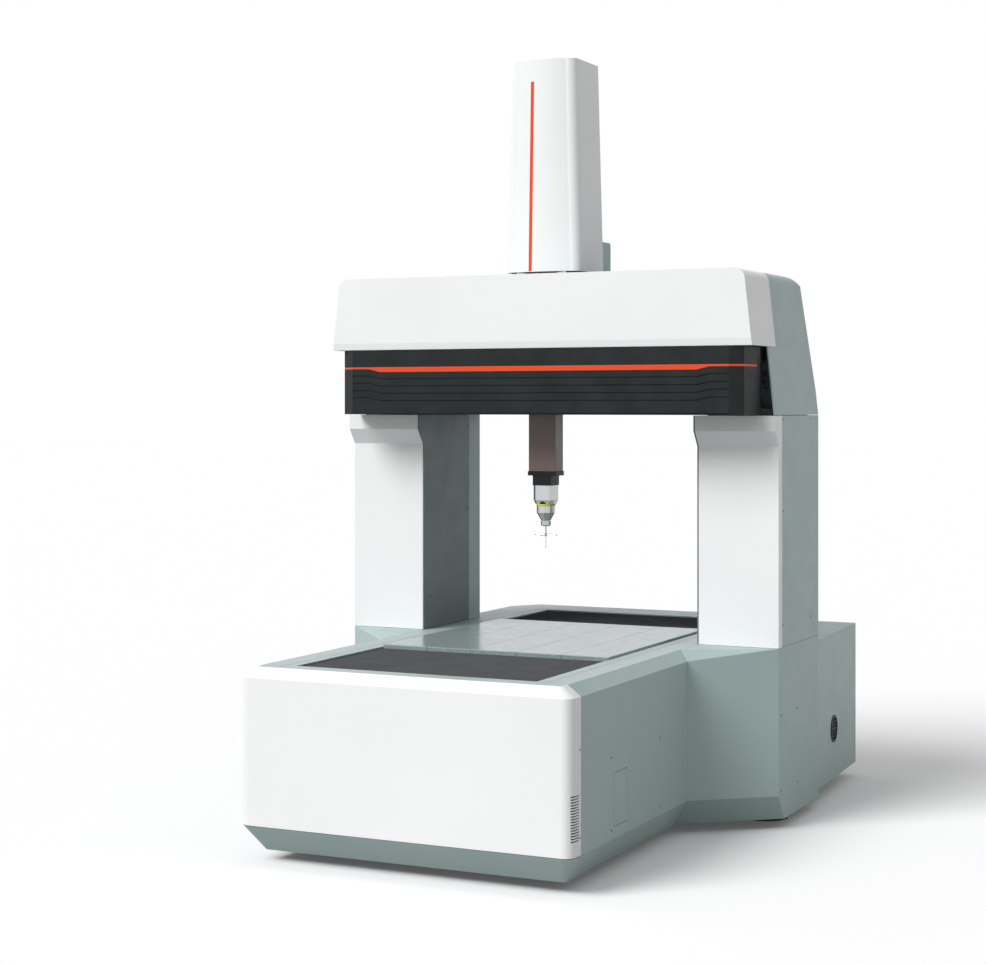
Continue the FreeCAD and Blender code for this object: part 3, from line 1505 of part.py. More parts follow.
def stylus():
    """Stylus holder: plunger inside the nose, collar and star hub with its five stems."""
    hub = stylus_hub()
    top = ring_bottom_z - 2 * stage_thickness - 3 * stage_clearance - hub.z
    neck = nose_bottom_radius - nose_wall - stage_clearance
    collar_low = stem_length
    collar_top = stem_length + collar_height
    size = cross_hub_radius
    body = faceted([(-size, size * 0.6), (-size / 2, size), (size / 2, size), (size, stem_radius),
                    (collar_low, stem_radius), (collar_low, collar_radius * 0.8),
                    (collar_low + collar_edge, collar_radius), (collar_top, collar_radius),
                    (collar_top, neck), (top, neck)], hub, Vector(0, 0, 1), round_sides * 2 // 3)
    for way, length in stylus_stems():
        body = body.fuse(faceted([(0, stylus_arm_radius), (length, stylus_arm_radius)], hub, way, stem_sides))
    return at_carriage(body)


def ball(place, direction):
    """Ruby ball whose flat sits on the end of a stem that points along direction."""
    flat = math.sqrt(ball_radius ** 2 - stylus_arm_radius ** 2)
    start, end = -math.asin(flat / ball_radius), math.pi / 2 * ball_tip_share
    sections = []
    for i in range(ball_bands + 1):
        angle = start + (end - start) * i / ball_bands
        sections.append((flat + ball_radius * math.sin(angle), ball_radius * math.cos(angle)))
    return faceted(sections, place, direction, stem_sides + 2)


def stylus_balls():
    """Ruby balls on the ends of the five stems."""
    hub = stylus_hub()
    return at_carriage(group([ball(hub + way * length, way) for way, length in stylus_stems()]))


# ---- Whole machine ------------------------------------------------------------

def build():
    """Make every node of the machine."""
    os.makedirs("parts", exist_ok=True)
    nodes = {}

    def pair(name, right):
        nodes[name + "_right"] = right
        nodes[name + "_left"] = mirrored(right)

    nodes["base_casting"] = base_casting()
    nodes["levelling_mounts"] = levelling_mounts()
    nodes["cover_frame"] = cover_frame()
    nodes["front_cover"] = front_cover()
    nodes["front_plinth"] = front_plinth()
    side = side_panel_shape()
    nodes["side_panel_left"] = mirrored(side)
    nodes["side_panel_right"] = side.cut(service_opening())
    nodes["service_panel"] = service_panel()
    wing = wing_cover_shape()
    pair("wing_cover", wing)
    nodes["rear_cover"] = rear_cover()
    nodes["rear_cabinet"] = rear_cabinet()
    nodes["fan_ring"] = fan_ring()
    nodes["fan_rotor"] = fan_rotor()
    nodes["top_frame"] = top_frame([front_body(0).cut(front_body(sheet)), side, mirrored(side)])
    nodes["linear_scales"] = linear_scales()
    nodes["screw_bearings"] = screw_bearings()
    nodes["drive_motors"] = drive_motors()
    nodes["front_bellows"] = front_bellows()
    nodes["rear_bellows"] = rear_bellows()

    nodes["column_castings"] = column_castings()
    column_front, column_inner, column_side = column_covers()
    pair("column_front_cover", column_front)
    nodes["column_inner_covers"] = group([column_inner, mirrored(column_inner)])
    nodes["column_side_covers"] = group([column_side, mirrored(column_side)])

    nodes["cross_beam"] = beam_and_channel()
    nodes["guideways"] = guideways()
    bridge_front, bridge_side, bridge_rear = bridge_covers()
    nodes["bridge_front_cover"] = bridge_front
    pair("bridge_side_cover", bridge_side)
    nodes["bridge_rear_cover"] = bridge_rear
    nodes["bridge_bottom_cover"] = bridge_bottom_cover()
    nodes["fascia"], nodes["fascia_stripe"] = fascia_and_stripe()
    nodes["cover_screws"] = cover_screws()

    nodes["y_screw"] = y_screw()
    nodes["x_screw"] = x_screw()
    nodes["table_top"] = table_top()
    nodes["saddle"] = saddle()
    nodes["table_air_pads"] = table_air_pads()
    nodes["y_nut"] = y_nut()

    nodes["carriage"] = carriage()
    nodes["carriage_air_pads"] = carriage_air_pads()
    nodes["x_nut"] = x_nut()
    nodes["tower_cover"], nodes["tower_stripe"] = tower_cover_and_stripe()
    nodes["cable_box"] = cable_box()
    nodes["z_mast"] = z_mast()
    nodes["z_motor"] = z_motor()
    nodes["z_screw"] = z_screw()

    nodes["ram"] = ram()
    nodes["z_nut"] = z_nut()
    nodes["probe_adapter"] = probe_adapter()
    nodes["probe_head"] = probe_head()
    nodes["probe_ring"] = probe_ring()
    nodes["probe_nose"] = probe_nose()
    nodes["probe_x_stage"] = probe_x_stage()
    nodes["probe_y_stage"] = probe_y_stage()
    nodes["stylus"] = stylus()
    nodes["stylus_balls"] = stylus_balls()

    for name, shape in nodes.items():
        export(name, shape)


build()
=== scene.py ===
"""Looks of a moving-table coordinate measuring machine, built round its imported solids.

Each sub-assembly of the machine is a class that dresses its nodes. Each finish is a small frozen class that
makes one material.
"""

from __future__ import annotations

import json
import logging
import math
from dataclasses import dataclass, field
from enum import Enum

import bmesh
import bpy
from mathutils import Matrix, Vector

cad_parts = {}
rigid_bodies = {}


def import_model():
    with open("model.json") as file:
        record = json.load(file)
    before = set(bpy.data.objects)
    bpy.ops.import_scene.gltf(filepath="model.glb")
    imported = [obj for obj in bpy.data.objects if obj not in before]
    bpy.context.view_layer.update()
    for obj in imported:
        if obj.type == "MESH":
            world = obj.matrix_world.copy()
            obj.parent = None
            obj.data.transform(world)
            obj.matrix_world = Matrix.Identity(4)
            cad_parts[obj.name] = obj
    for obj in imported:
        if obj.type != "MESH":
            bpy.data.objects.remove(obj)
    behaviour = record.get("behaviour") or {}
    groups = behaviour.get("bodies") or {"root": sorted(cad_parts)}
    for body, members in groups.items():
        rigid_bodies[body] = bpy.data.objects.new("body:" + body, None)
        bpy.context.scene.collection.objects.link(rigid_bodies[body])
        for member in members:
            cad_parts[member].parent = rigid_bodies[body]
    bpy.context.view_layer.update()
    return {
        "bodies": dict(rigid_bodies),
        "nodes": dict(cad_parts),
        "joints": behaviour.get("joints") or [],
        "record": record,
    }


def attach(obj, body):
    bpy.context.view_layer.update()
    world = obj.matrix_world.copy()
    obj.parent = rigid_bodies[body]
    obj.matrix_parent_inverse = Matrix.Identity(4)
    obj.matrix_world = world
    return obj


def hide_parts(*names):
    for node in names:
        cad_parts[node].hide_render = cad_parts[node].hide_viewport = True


log = logging.getLogger("measuring_machine")

Colour = tuple[float, float, float]
Point = tuple[float, float, float]
Flat = tuple[float, float]
MM = 0.001


class Axis(Enum):
    """Direction of a grain, a screw or a lathe axis."""

    X = (1.0, 0.0, 0.0)
    Y = (0.0, 1.0, 0.0)
    Z = (0.0, 0.0, 1.0)

    def vector(self, sign: float = 1.0) -> Vector:
        """Unit vector along the axis."""
        return Vector(self.value) * sign


class Body(Enum):
    """Moving bodies of the machine."""

    BASE = "base"
    FAN = "fan_wheel"
    TABLE_SCREW = "table_screw"
    CARRIAGE_SCREW = "carriage_screw"
    RAM_SCREW = "ram_screw"
    TABLE = "table"
    CARRIAGE = "carriage"
    RAM = "ram"
    PROBE_X = "probe_x_stage"
    PROBE_Y = "probe_y_stage"
    STYLUS = "stylus"


# ---- Finishes -----------------------------------------------------------------


class Shader:
    """Node tree of one material, with short calls for the nodes that the finishes use."""

    def __init__(self, name: str) -> None:
        """Start a material with an empty tree, a principled shader and an output.

        Args:
            name: name of the material.
        """
        self.material = bpy.data.materials.new(name)
        self.material.use_nodes = True
        self.tree = self.material.node_tree
        self.tree.nodes.clear()
        self.output = self.tree.nodes.new("ShaderNodeOutputMaterial")
        self.surface = self.tree.nodes.new("ShaderNodeBsdfPrincipled")
        self.link(self.surface.outputs["BSDF"], self.output.inputs["Surface"])
        self.place = self.node("ShaderNodeTexCoord").outputs["Object"]

    def node(self, kind: str, settings: dict | None = None, **values: float) -> bpy.types.Node:
        """Add a node.

        Args:
            kind: Blender's name of the node type.
            settings: properties of the node itself.
            values: values for its inputs, with underscores for spaces.

        Returns:
            The new node.
        """
        made = self.tree.nodes.new(kind)
        for key, value in (settings or {}).items():
            setattr(made, key, value)
        for key, value in values.items():
            made.inputs[key.replace("_", " ")].default_value = value
        return made

    def link(self, source: bpy.types.NodeSocket, target: bpy.types.NodeSocket) -> None:
        """Join two sockets."""
        self.tree.links.new(source, target)

    def stretched(self, scale: Point) -> bpy.types.NodeSocket:
        """Object coordinates multiplied along each axis."""
        mapping = self.node("ShaderNodeMapping")
        mapping.inputs["Scale"].default_value = scale
        self.link(self.place, mapping.inputs["Vector"])
        return mapping.outputs["Vector"]

    def noise(self, scale: float, detail: float = 2.0, where: bpy.types.NodeSocket | None = None,
              roughness: float = 0.5) -> bpy.types.NodeSocket:
        """Add a noise texture.

        Args:
            scale: waves per metre.
            detail: number of octaves.
            where: coordinates, the object's own if left out.
            roughness: share of the fine octaves.

        Returns:
            The noise value.
        """
        made = self.node("ShaderNodeTexNoise", Scale=scale, Detail=detail, Roughness=roughness)
        self.link(where or self.place, made.inputs["Vector"])
        return made.outputs["Fac"]

    def span(self, value: bpy.types.NodeSocket, low: float, high: float,
             start: float = 0.0, end: float = 1.0) -> bpy.types.NodeSocket:
        """Map a value from one range to another.

        Args:
            value: the value to map.
            low: result at start.
            high: result at end.
            start: lower end of the value's range.
            end: upper end of the value's range.

        Returns:
            The mapped value, held inside its range.
        """
        made = self.node("ShaderNodeMapRange", From_Min=start, From_Max=end, To_Min=low, To_Max=high)
        self.link(value, made.inputs["Value"])
        return made.outputs["Result"]

    def mixed(self, factor: bpy.types.NodeSocket, first: Colour | bpy.types.NodeSocket,
              second: Colour | bpy.types.NodeSocket) -> bpy.types.NodeSocket:
        """Mix two colours.

        Args:
            factor: 0 gives the first colour and 1 the second.
            first: a colour or a colour socket.
            second: a colour or a colour socket.

        Returns:
            The mixed colour.
        """
        made = self.node("ShaderNodeMix", {"data_type": "RGBA"})
        self.link(factor, made.inputs["Factor"])
        for key, value in ((6, first), (7, second)):
            if isinstance(value, bpy.types.NodeSocket):
                self.link(value, made.inputs[key])
            else:
                made.inputs[key].default_value = (*value, 1.0)
        return made.outputs[2]

    def relief(self, height: bpy.types.NodeSocket, depth: float, strength: float = 1.0,
               below: bpy.types.NodeSocket | None = None) -> bpy.types.NodeSocket:
        """Add a bump.

        Args:
            height: height between 0 and 1.
            depth: full height in metres.
            strength: how much of it shows.
            below: normal that the bump goes on.

        Returns:
            The bumped normal.
        """
        made = self.node("ShaderNodeBump", Strength=strength, Distance=depth)
        self.link(height, made.inputs["Height"])
        if below is not None:
            self.link(below, made.inputs["Normal"])
        return made.outputs["Normal"]

    def softened(self, radius: float) -> bpy.types.NodeSocket:
        """Normal that rounds the edges by a radius in metres."""
        return self.node("ShaderNodeBevel", {"samples": 4}, Radius=radius).outputs["Normal"]

    def edges(self, radius: float) -> bpy.types.NodeSocket:
        """Find the edges of a piece.

        Args:
            radius: how far from an edge the effect reaches, in metres.

        Returns:
            0 on flat faces and up to 1 at edges.
        """
        dot = self.node("ShaderNodeVectorMath", {"operation": "DOT_PRODUCT"})
        self.link(self.softened(radius), dot.inputs[0])
        self.link(self.node("ShaderNodeNewGeometry").outputs["Normal"], dot.inputs[1])
        return self.span(dot.outputs["Value"], 1.0, 0.0, 0.8, 0.99)

    def plain(self, **values: float | Colour) -> None:
        """Set the principled shader's own sockets, with underscores for spaces."""
        for key, value in values.items():
            whole = (*value, 1.0) if isinstance(value, tuple) and len(value) == 3 else value
            self.surface.inputs[key.replace("_", " ")].default_value = whole

    def drive(self, name: str, value: bpy.types.NodeSocket) -> None:
        """Feed one of the principled shader's sockets."""
        self.link(value, self.surface.inputs[name])


@dataclass(frozen=True)
class Paint:
    """Satin powder coat with a fine orange peel, and edges lightened partly as rubbed wear and partly as a
    painted highlight.
    """

    name: str
    colour: Colour
    roughness: float = 0.42
    peel: float = 0.25
    # edge: strength of the lighter edges, part rubbed wear and part painted highlight
    edge: float = 0.25
    specular: float = 0.4

    def build(self) -> bpy.types.Material:
        """Make the material.

        Returns:
            The paint's material.
        """
        s = Shader(self.name)
        cloud = s.span(s.noise(2.3, 3.0), 0.0, 1.0, 0.3, 0.7)
        dim = tuple(c * 0.965 for c in self.colour)
        coat = s.mixed(cloud, dim, self.colour)
        # edges lightened as rubbed paint wear plus a painted highlight line
        rub_and_highlight = tuple(min(1.0, c * 1.12 + 0.03) for c in self.colour)
        wear_and_highlight_mask = s.node("ShaderNodeMath", {"operation": "MULTIPLY"})
        s.link(s.edges(2.5 * MM), wear_and_highlight_mask.inputs[0])
        wear_and_highlight_mask.inputs[1].default_value = self.edge
        s.drive("Base Color", s.mixed(wear_and_highlight_mask.outputs["Value"], coat, rub_and_highlight))
        s.drive("Roughness", s.span(s.noise(14.0, 4.0), self.roughness - 0.05, self.roughness + 0.05,
                                    0.3, 0.7))
        s.drive("Normal", s.relief(s.noise(620.0, 2.0), 0.12 * MM, self.peel, s.softened(1.6 * MM)))
        s.plain(Specular_IOR_Level=self.specular)
        return s.material


@dataclass(frozen=True)
class Moulded:
    """Moulded plastic with a spark-eroded grain."""

    name: str
    colour: Colour
    roughness: float = 0.45
    grain: float = 0.3
    specular: float = 0.25

    def build(self) -> bpy.types.Material:
        """Make the material.

        Returns:
            The plastic's material.
        """
        s = Shader(self.name)
        light = tuple(min(1.0, c * 1.25 + 0.004) for c in self.colour)
        s.drive("Base Color", s.mixed(s.span(s.noise(9.0, 4.0), 0.0, 1.0, 0.35, 0.65), self.colour, light))
        s.drive("Roughness", s.span(s.noise(40.0, 3.0), self.roughness - 0.06, self.roughness + 0.06,
                                    0.3, 0.7))
        s.drive("Normal", s.relief(s.noise(1400.0, 2.0), 0.06 * MM, self.grain, s.softened(1.2 * MM)))
        s.plain(Specular_IOR_Level=self.specular)
        return s.material


@dataclass(frozen=True)
class Metal:
    """Bare metal with a grain along one axis."""

    name: str
    colour: Colour
    roughness: float = 0.3
    grain: Axis = Axis.Y
    depth: float = 0.02

    def build(self) -> bpy.types.Material:
        """Make the material.

        Returns:
            The metal's material.
        """
        s = Shader(self.name)
        scale = tuple(4.0 if v else 900.0 for v in self.grain.value)
        lines = s.noise(1.0, 3.0, s.stretched(scale))
        dark = tuple(c * 0.82 for c in self.colour)
        s.drive("Base Color", s.mixed(s.span(lines, 0.0, 1.0, 0.3, 0.7), dark, self.colour))
        s.drive("Roughness", s.span(lines, self.roughness - 0.07, self.roughness + 0.08, 0.3, 0.7))
        s.drive("Normal", s.relief(lines, self.depth * MM, 0.5, s.softened(0.5 * MM)))
        s.plain(Metallic=1.0)
        return s.material


@dataclass(frozen=True)
class Casting:
    """Painted casting with the roughness of the mould under the paint."""

    name: str
    colour: Colour
    metallic: float = 0.0
    roughness: float = 0.55

    def build(self) -> bpy.types.Material:
        """Make the material.

        Returns:
            The casting's material.
        """
        s = Shader(self.name)
        dark = tuple(c * 0.75 for c in self.colour)
        s.drive("Base Color", s.mixed(s.span(s.noise(22.0, 5.0), 0.0, 1.0, 0.35, 0.7), dark, self.colour))
        s.drive("Roughness", s.span(s.noise(60.0, 3.0), self.roughness - 0.08, self.roughness + 0.1,
                                    0.3, 0.7))
        s.drive("Normal", s.relief(s.noise(260.0, 4.0), 0.5 * MM, 0.5, s.softened(3.0 * MM)))
        s.plain(Metallic=self.metallic)
        return s.material


@dataclass(frozen=True)
class Granite:
    """Lapped fine-grained stone with dark and pale crystals."""

    name: str
    colour: Colour
    dark: Colour
    pale: Colour
    roughness: float = 0.2

    def build(self) -> bpy.types.Material:
        """Make the material.

        Returns:
            The stone's material.
        """
        s = Shader(self.name)
        cells = s.node("ShaderNodeTexVoronoi", {"feature": "F1"}, Scale=420.0, Randomness=1.0)
        s.link(s.place, cells.inputs["Vector"])
        tone = s.node("ShaderNodeSeparateColor")
        s.link(cells.outputs["Color"], tone.inputs["Color"])
        ground = s.mixed(s.span(s.noise(5.0, 4.0), 0.0, 1.0, 0.3, 0.7),
                         tuple(c * 0.94 for c in self.colour), self.colour)
        dots = s.mixed(s.span(tone.outputs["Red"], 0.0, 0.7, 0.72, 0.95), ground, self.dark)
        flecks = s.mixed(s.span(tone.outputs["Green"], 0.0, 0.6, 0.8, 0.97), dots, self.pale)
        s.drive("Base Color", flecks)
        s.drive("Roughness", s.span(s.noise(30.0, 4.0), self.roughness - 0.03, self.roughness + 0.05,
                                    0.3, 0.7))
        s.drive("Normal", s.relief(s.noise(300.0, 3.0), 0.02 * MM, 0.15, s.softened(1.0 * MM)))
        s.plain(Specular_IOR_Level=0.5)
        return s.material


@dataclass(frozen=True)
class Ceramic:
    """Lapped ceramic with fine marks along the ram."""

    name: str
    colour: Colour
    roughness: float = 0.35

    def build(self) -> bpy.types.Material:
        """Make the material.

        Returns:
            The ceramic's material.
        """
        s = Shader(self.name)
        lines = s.noise(1.0, 3.0, s.stretched((700.0, 700.0, 6.0)))
        dark = tuple(c * 0.86 for c in self.colour)
        s.drive("Base Color", s.mixed(s.span(lines, 0.0, 1.0, 0.3, 0.7), dark, self.colour))
        s.drive("Roughness", s.span(s.noise(25.0, 4.0), self.roughness - 0.05, self.roughness + 0.05,
                                    0.3, 0.7))
        s.drive("Normal", s.relief(lines, 0.01 * MM, 0.4, s.softened(1.0 * MM)))
        return s.material


@dataclass(frozen=True)
class Pleat:
    """Coated woven cloth of the way covers."""

    name: str
    colour: Colour
    roughness: float = 0.5

    def build(self) -> bpy.types.Material:
        """Make the material.

        Returns:
            The cloth's material.
        """
        s = Shader(self.name)
        threads = []
        for turned in (Axis.X, Axis.Y):
            wave = s.node("ShaderNodeTexWave", {"bands_direction": turned.name}, Scale=260.0, Distortion=0.4)
            s.link(s.place, wave.inputs["Vector"])
            threads.append(wave.outputs["Fac"])
        weave = s.node("ShaderNodeMath", {"operation": "MAXIMUM"})
        for i, thread in enumerate(threads):
            s.link(thread, weave.inputs[i])
        light = tuple(c * 1.5 + 0.004 for c in self.colour)
        s.drive("Base Color", s.mixed(s.span(s.noise(12.0, 4.0), 0.0, 1.0, 0.35, 0.65), self.colour, light))
        s.drive("Normal", s.relief(weave.outputs["Value"], 0.12 * MM, 0.4))
        s.plain(Roughness=self.roughness, Specular_IOR_Level=0.3)
        return s.material


@dataclass(frozen=True)
class Gem:
    """Polished synthetic ruby."""

    name: str
    colour: Colour

    def build(self) -> bpy.types.Material:
        """Make the material.

        Returns:
            The ruby's material.
        """
        s = Shader(self.name)
        deep = tuple(c * 0.6 for c in self.colour)
        s.drive("Base Color", s.mixed(s.noise(400.0, 2.0), deep, self.colour))
        s.plain(Roughness=0.08, IOR=1.77, Coat_Weight=0.4)
        return s.material


@dataclass(frozen=True)
class Glow:
    """Small indicator lens with a faint light behind it."""

    name: str
    colour: Colour
    strength: float = 0.6

    def build(self) -> bpy.types.Material:
        """Make the material.

        Returns:
            The lens's material.
        """
        s = Shader(self.name)
        pale = tuple(min(1.0, c * 1.3 + 0.05) for c in self.colour)
        s.drive("Base Color", s.mixed(s.noise(900.0, 1.0), self.colour, pale))
        s.plain(Roughness=0.15, Emission_Color=self.colour, Emission_Strength=self.strength)
        return s.material


def srgb(red: int, green: int, blue: int) -> Colour:
    """Turn a colour of 0 to 255 into linear light.

    Args:
        red: red part.
        green: green part.
        blue: blue part.

    Returns:
        The linear colour.
    """
    shares = (c / 255 for c in (red, green, blue))
    return tuple(c / 12.92 if c <= 0.04045 else ((c + 0.055) / 1.055) ** 2.4 for c in shares)


class Finish(Enum):
    """Every finish on the machine."""

    WHITE = Paint("white_paint", srgb(246, 247, 247), roughness=0.38, peel=0.18)
    GRAY = Paint("sage_gray_paint", srgb(168, 189, 188), roughness=0.45, peel=0.3)
    LIGHT_GRAY = Paint("light_gray_paint", srgb(176, 190, 190), roughness=0.42)
    # darker copy of the sage gray paint: painted shade for the inner column covers under the bridge
    INNER_PAINTED_SHADE_GRAY = Paint("inner_painted_shade_gray", srgb(104, 118, 120), roughness=0.45)
    ORANGE = Paint("orange_paint", srgb(236, 74, 22), roughness=0.35, peel=0.1, edge=0.1)
    YELLOW = Paint("yellow_ring_paint", srgb(224, 200, 40), roughness=0.3, peel=0.1)
    FRAME = Paint("frame_paint", srgb(120, 126, 128), roughness=0.5)
    BLACK = Moulded("black_plastic", srgb(26, 31, 31), roughness=0.42, specular=0.18)
    RUBBER = Moulded("black_rubber", srgb(18, 19, 20), roughness=0.7, grain=0.5, specular=0.15)
    STEEL = Metal("ground_steel", (0.56, 0.57, 0.58), roughness=0.25, grain=Axis.Y)
    STEEL_X = Metal("ground_steel_cross", (0.56, 0.57, 0.58), roughness=0.25, grain=Axis.X)
    STEEL_Z = Metal("ground_steel_upright", (0.56, 0.57, 0.58), roughness=0.25, grain=Axis.Z)
    BLACK_STEEL = Metal("black_oxide_steel", (0.045, 0.045, 0.05), roughness=0.45)
    ALUMINIUM = Metal("machined_aluminium", (0.72, 0.73, 0.74), roughness=0.32, grain=Axis.X)
    SILVER = Metal("satin_anodised", (0.62, 0.63, 0.63), roughness=0.35, grain=Axis.Z)
    BRASS = Metal("brass", (0.68, 0.50, 0.25), roughness=0.3)
    CAST_IRON = Casting("painted_cast_iron", srgb(120, 130, 132))
    CAST_ALUMINIUM = Casting("cast_aluminium", (0.5, 0.51, 0.52), metallic=0.9, roughness=0.45)
    GRANITE = Granite("granite", srgb(146, 163, 162), srgb(95, 110, 110), srgb(190, 203, 202))
    CERAMIC = Ceramic("brown_ceramic", srgb(118, 98, 94))
    PLEAT = Pleat("pleated_cloth", srgb(26, 30, 32))
    RUBY = Gem("ruby", (0.5, 0.02, 0.06))
    GREEN_LENS = Glow("green_lens", (0.03, 0.45, 0.08))


class Finishes:
    """Makes each finish once and hands it out."""

    def __init__(self) -> None:
        """Start with no materials made."""
        self.made: dict[Finish, bpy.types.Material] = {}

    def get(self, finish: Finish) -> bpy.types.Material:
        """Give the material of a finish.

        Args:
            finish: the finish wanted.

        Returns:
            Its material, made on first use.
        """
        if finish not in self.made:
            self.made[finish] = finish.value.build()
        return self.made[finish]


# ---- Mesh work ----------------------------------------------------------------


class Sketch:
    """Mesh of one piece while it is being made, in metres in the machine's frame."""

    def __init__(self) -> None:
        """Start with no faces."""
        self.mesh = bmesh.new()

    def block(self, low: Point, high: Point) -> "Sketch":
        """Add a block between two corners.

        Args:
            low: lowest corner.
            high: highest corner.

        Returns:
            The sketch itself.
        """
        corners = [(x, y, z) for x in (low[0], high[0]) for y in (low[1], high[1]) for z in (low[2], high[2])]
        v = [self.mesh.verts.new(c) for c in corners]
        for face in ((0, 1, 3, 2), (4, 6, 7, 5), (0, 4, 5, 1), (2, 3, 7, 6), (0, 2, 6, 4), (1, 5, 7, 3)):
            self.mesh.faces.new([v[i] for i in face])
        return self

    def prism(self, outline: list[Point], way: Vector) -> "Sketch":
        """Add an outline pushed along a vector.

        Args:
            outline: corners of a flat outline.
            way: how far and where it is pushed.

        Returns:
            The sketch itself.
        """
        start = [self.mesh.verts.new(p) for p in outline]
        end = [self.mesh.verts.new(Vector(p) + way) for p in outline]
        self.mesh.faces.new(start)
        self.mesh.faces.new(end[::-1])
        for i, a in enumerate(start):
            j = (i + 1) % len(start)
            self.mesh.faces.new((a, end[i], end[j], start[j]))
        return self

    def lathe(self, centre: Point, axis: Vector, profile: list[Flat], sides: int = 32,
              turn: float = 0.0) -> "Sketch":
        """Add a turned piece.

        Args:
            centre: where the profile's height is 0.
            axis: unit vector along the height.
            profile: (radius, height) pairs from one end to the other.
            sides: number of facets round the axis.
            turn: angle of the first facet, in radians.

        Returns:
            The sketch itself.
        """
        origin = Vector(centre)
        side = axis.orthogonal().normalized()
        other = axis.cross(side)
        rings = []
        for radius, height in profile:
            middle = origin + axis * height
            if radius < 1e-7:
                rings.append([self.mesh.verts.new(middle)])
                continue
            ring = []
            for i in range(sides):
                a = turn + 2 * math.pi * i / sides
                ring.append(self.mesh.verts.new(middle + (side * math.cos(a) + other * math.sin(a)) * radius))
            rings.append(ring)
        for low, high in zip(rings, rings[1:]):
            self._band(low, high, sides)
        for ring in (rings[0], rings[-1]):
            if len(ring) > 1 and profile[0] != profile[-1]:
                self.mesh.faces.new(ring)
        return self

    def _band(self, low: list, high: list, sides: int) -> None:
        """Join two rings, either of which may be a single point."""
        for i in range(sides):
            j = (i + 1) % sides
            if len(low) == 1 and len(high) > 1:
                self.mesh.faces.new((low[0], high[j], high[i]))
            elif len(high) == 1 and len(low) > 1:
                self.mesh.faces.new((low[i], low[j], high[0]))
            elif len(low) > 1:
                self.mesh.faces.new((low[i], low[j], high[j], high[i]))

    def tube(self, path: list[Point], radius: float, sides: int = 10, closed: bool = False) -> "Sketch":
        """Add a round bar along a path.

        Args:
            path: points of the centre line.
            radius: radius of the bar.
            sides: facets round the bar.
            closed: True joins the last point to the first.

        Returns:
            The sketch itself.
        """
        points = [Vector(p) for p in path]
        count = len(points)
        rings = []
        normal = None
        for i, p in enumerate(points):
            ahead = points[(i + 1) % count] if closed or i + 1 < count else p
            behind = points[i - 1] if closed or i else p
            way = (ahead - behind).normalized()
            normal = way.orthogonal() if normal is None else normal - way * normal.dot(way)
            normal.normalize()
            other = way.cross(normal)
            rings.append([self.mesh.verts.new(p + (normal * math.cos(2 * math.pi * k / sides)
                                                   + other * math.sin(2 * math.pi * k / sides)) * radius)
                          for k in range(sides)])
        for low, high in zip(rings, rings[1:] + (rings[:1] if closed else [])):
            self._band(low, high, sides)
        if not closed:
            self.mesh.faces.new(rings[0])
            self.mesh.faces.new(rings[-1])
        return self

    def sheet(self, rows: list[list[Point]]) -> "Sketch":
        """Add a surface through rows of points."""
        grid = [[self.mesh.verts.new(p) for p in row] for row in rows]
        for a, b in zip(grid, grid[1:]):
            for i in range(len(a) - 1):
                self.mesh.faces.new((a[i], a[i + 1], b[i + 1], b[i]))
        return self

    def rounded(self, width: float, segments: int = 2, angle: float = 35.0) -> "Sketch":
        """Round the sharp edges.

        Args:
            width: width of the rounding, in metres.
            segments: facets across it.
            angle: edges sharper than this, in degrees, are rounded.

        Returns:
            The sketch itself.
        """
        bmesh.ops.recalc_face_normals(self.mesh, faces=self.mesh.faces)
        limit = math.radians(angle)
        sharp = [e for e in self.mesh.edges if len(e.link_faces) == 2 and e.calc_face_angle(0.0) > limit]
        bmesh.ops.bevel(self.mesh, geom=sharp, offset=width, offset_type="OFFSET", segments=segments,
                        profile=0.5, affect="EDGES", clamp_overlap=True)
        return self

    def finish(self, name: str, smooth: float = 40.0) -> bpy.types.Object:
        """Turn the sketch into an object.

        Args:
            name: name of the piece.
            smooth: faces that meet at less than this angle, in degrees, shade as one.

        Returns:
            The new object, linked into the scene.
        """
        bmesh.ops.recalc_face_normals(self.mesh, faces=self.mesh.faces)
        limit = math.radians(smooth)
        for face in self.mesh.faces:
            face.smooth = True
        for edge in self.mesh.edges:
            edge.smooth = len(edge.link_faces) == 2 and edge.calc_face_angle(0.0) < limit
        data = bpy.data.meshes.new(name)
        self.mesh.to_mesh(data)
        self.mesh.free()
        piece = bpy.data.objects.new(name, data)
        bpy.context.scene.collection.objects.link(piece)
        return piece


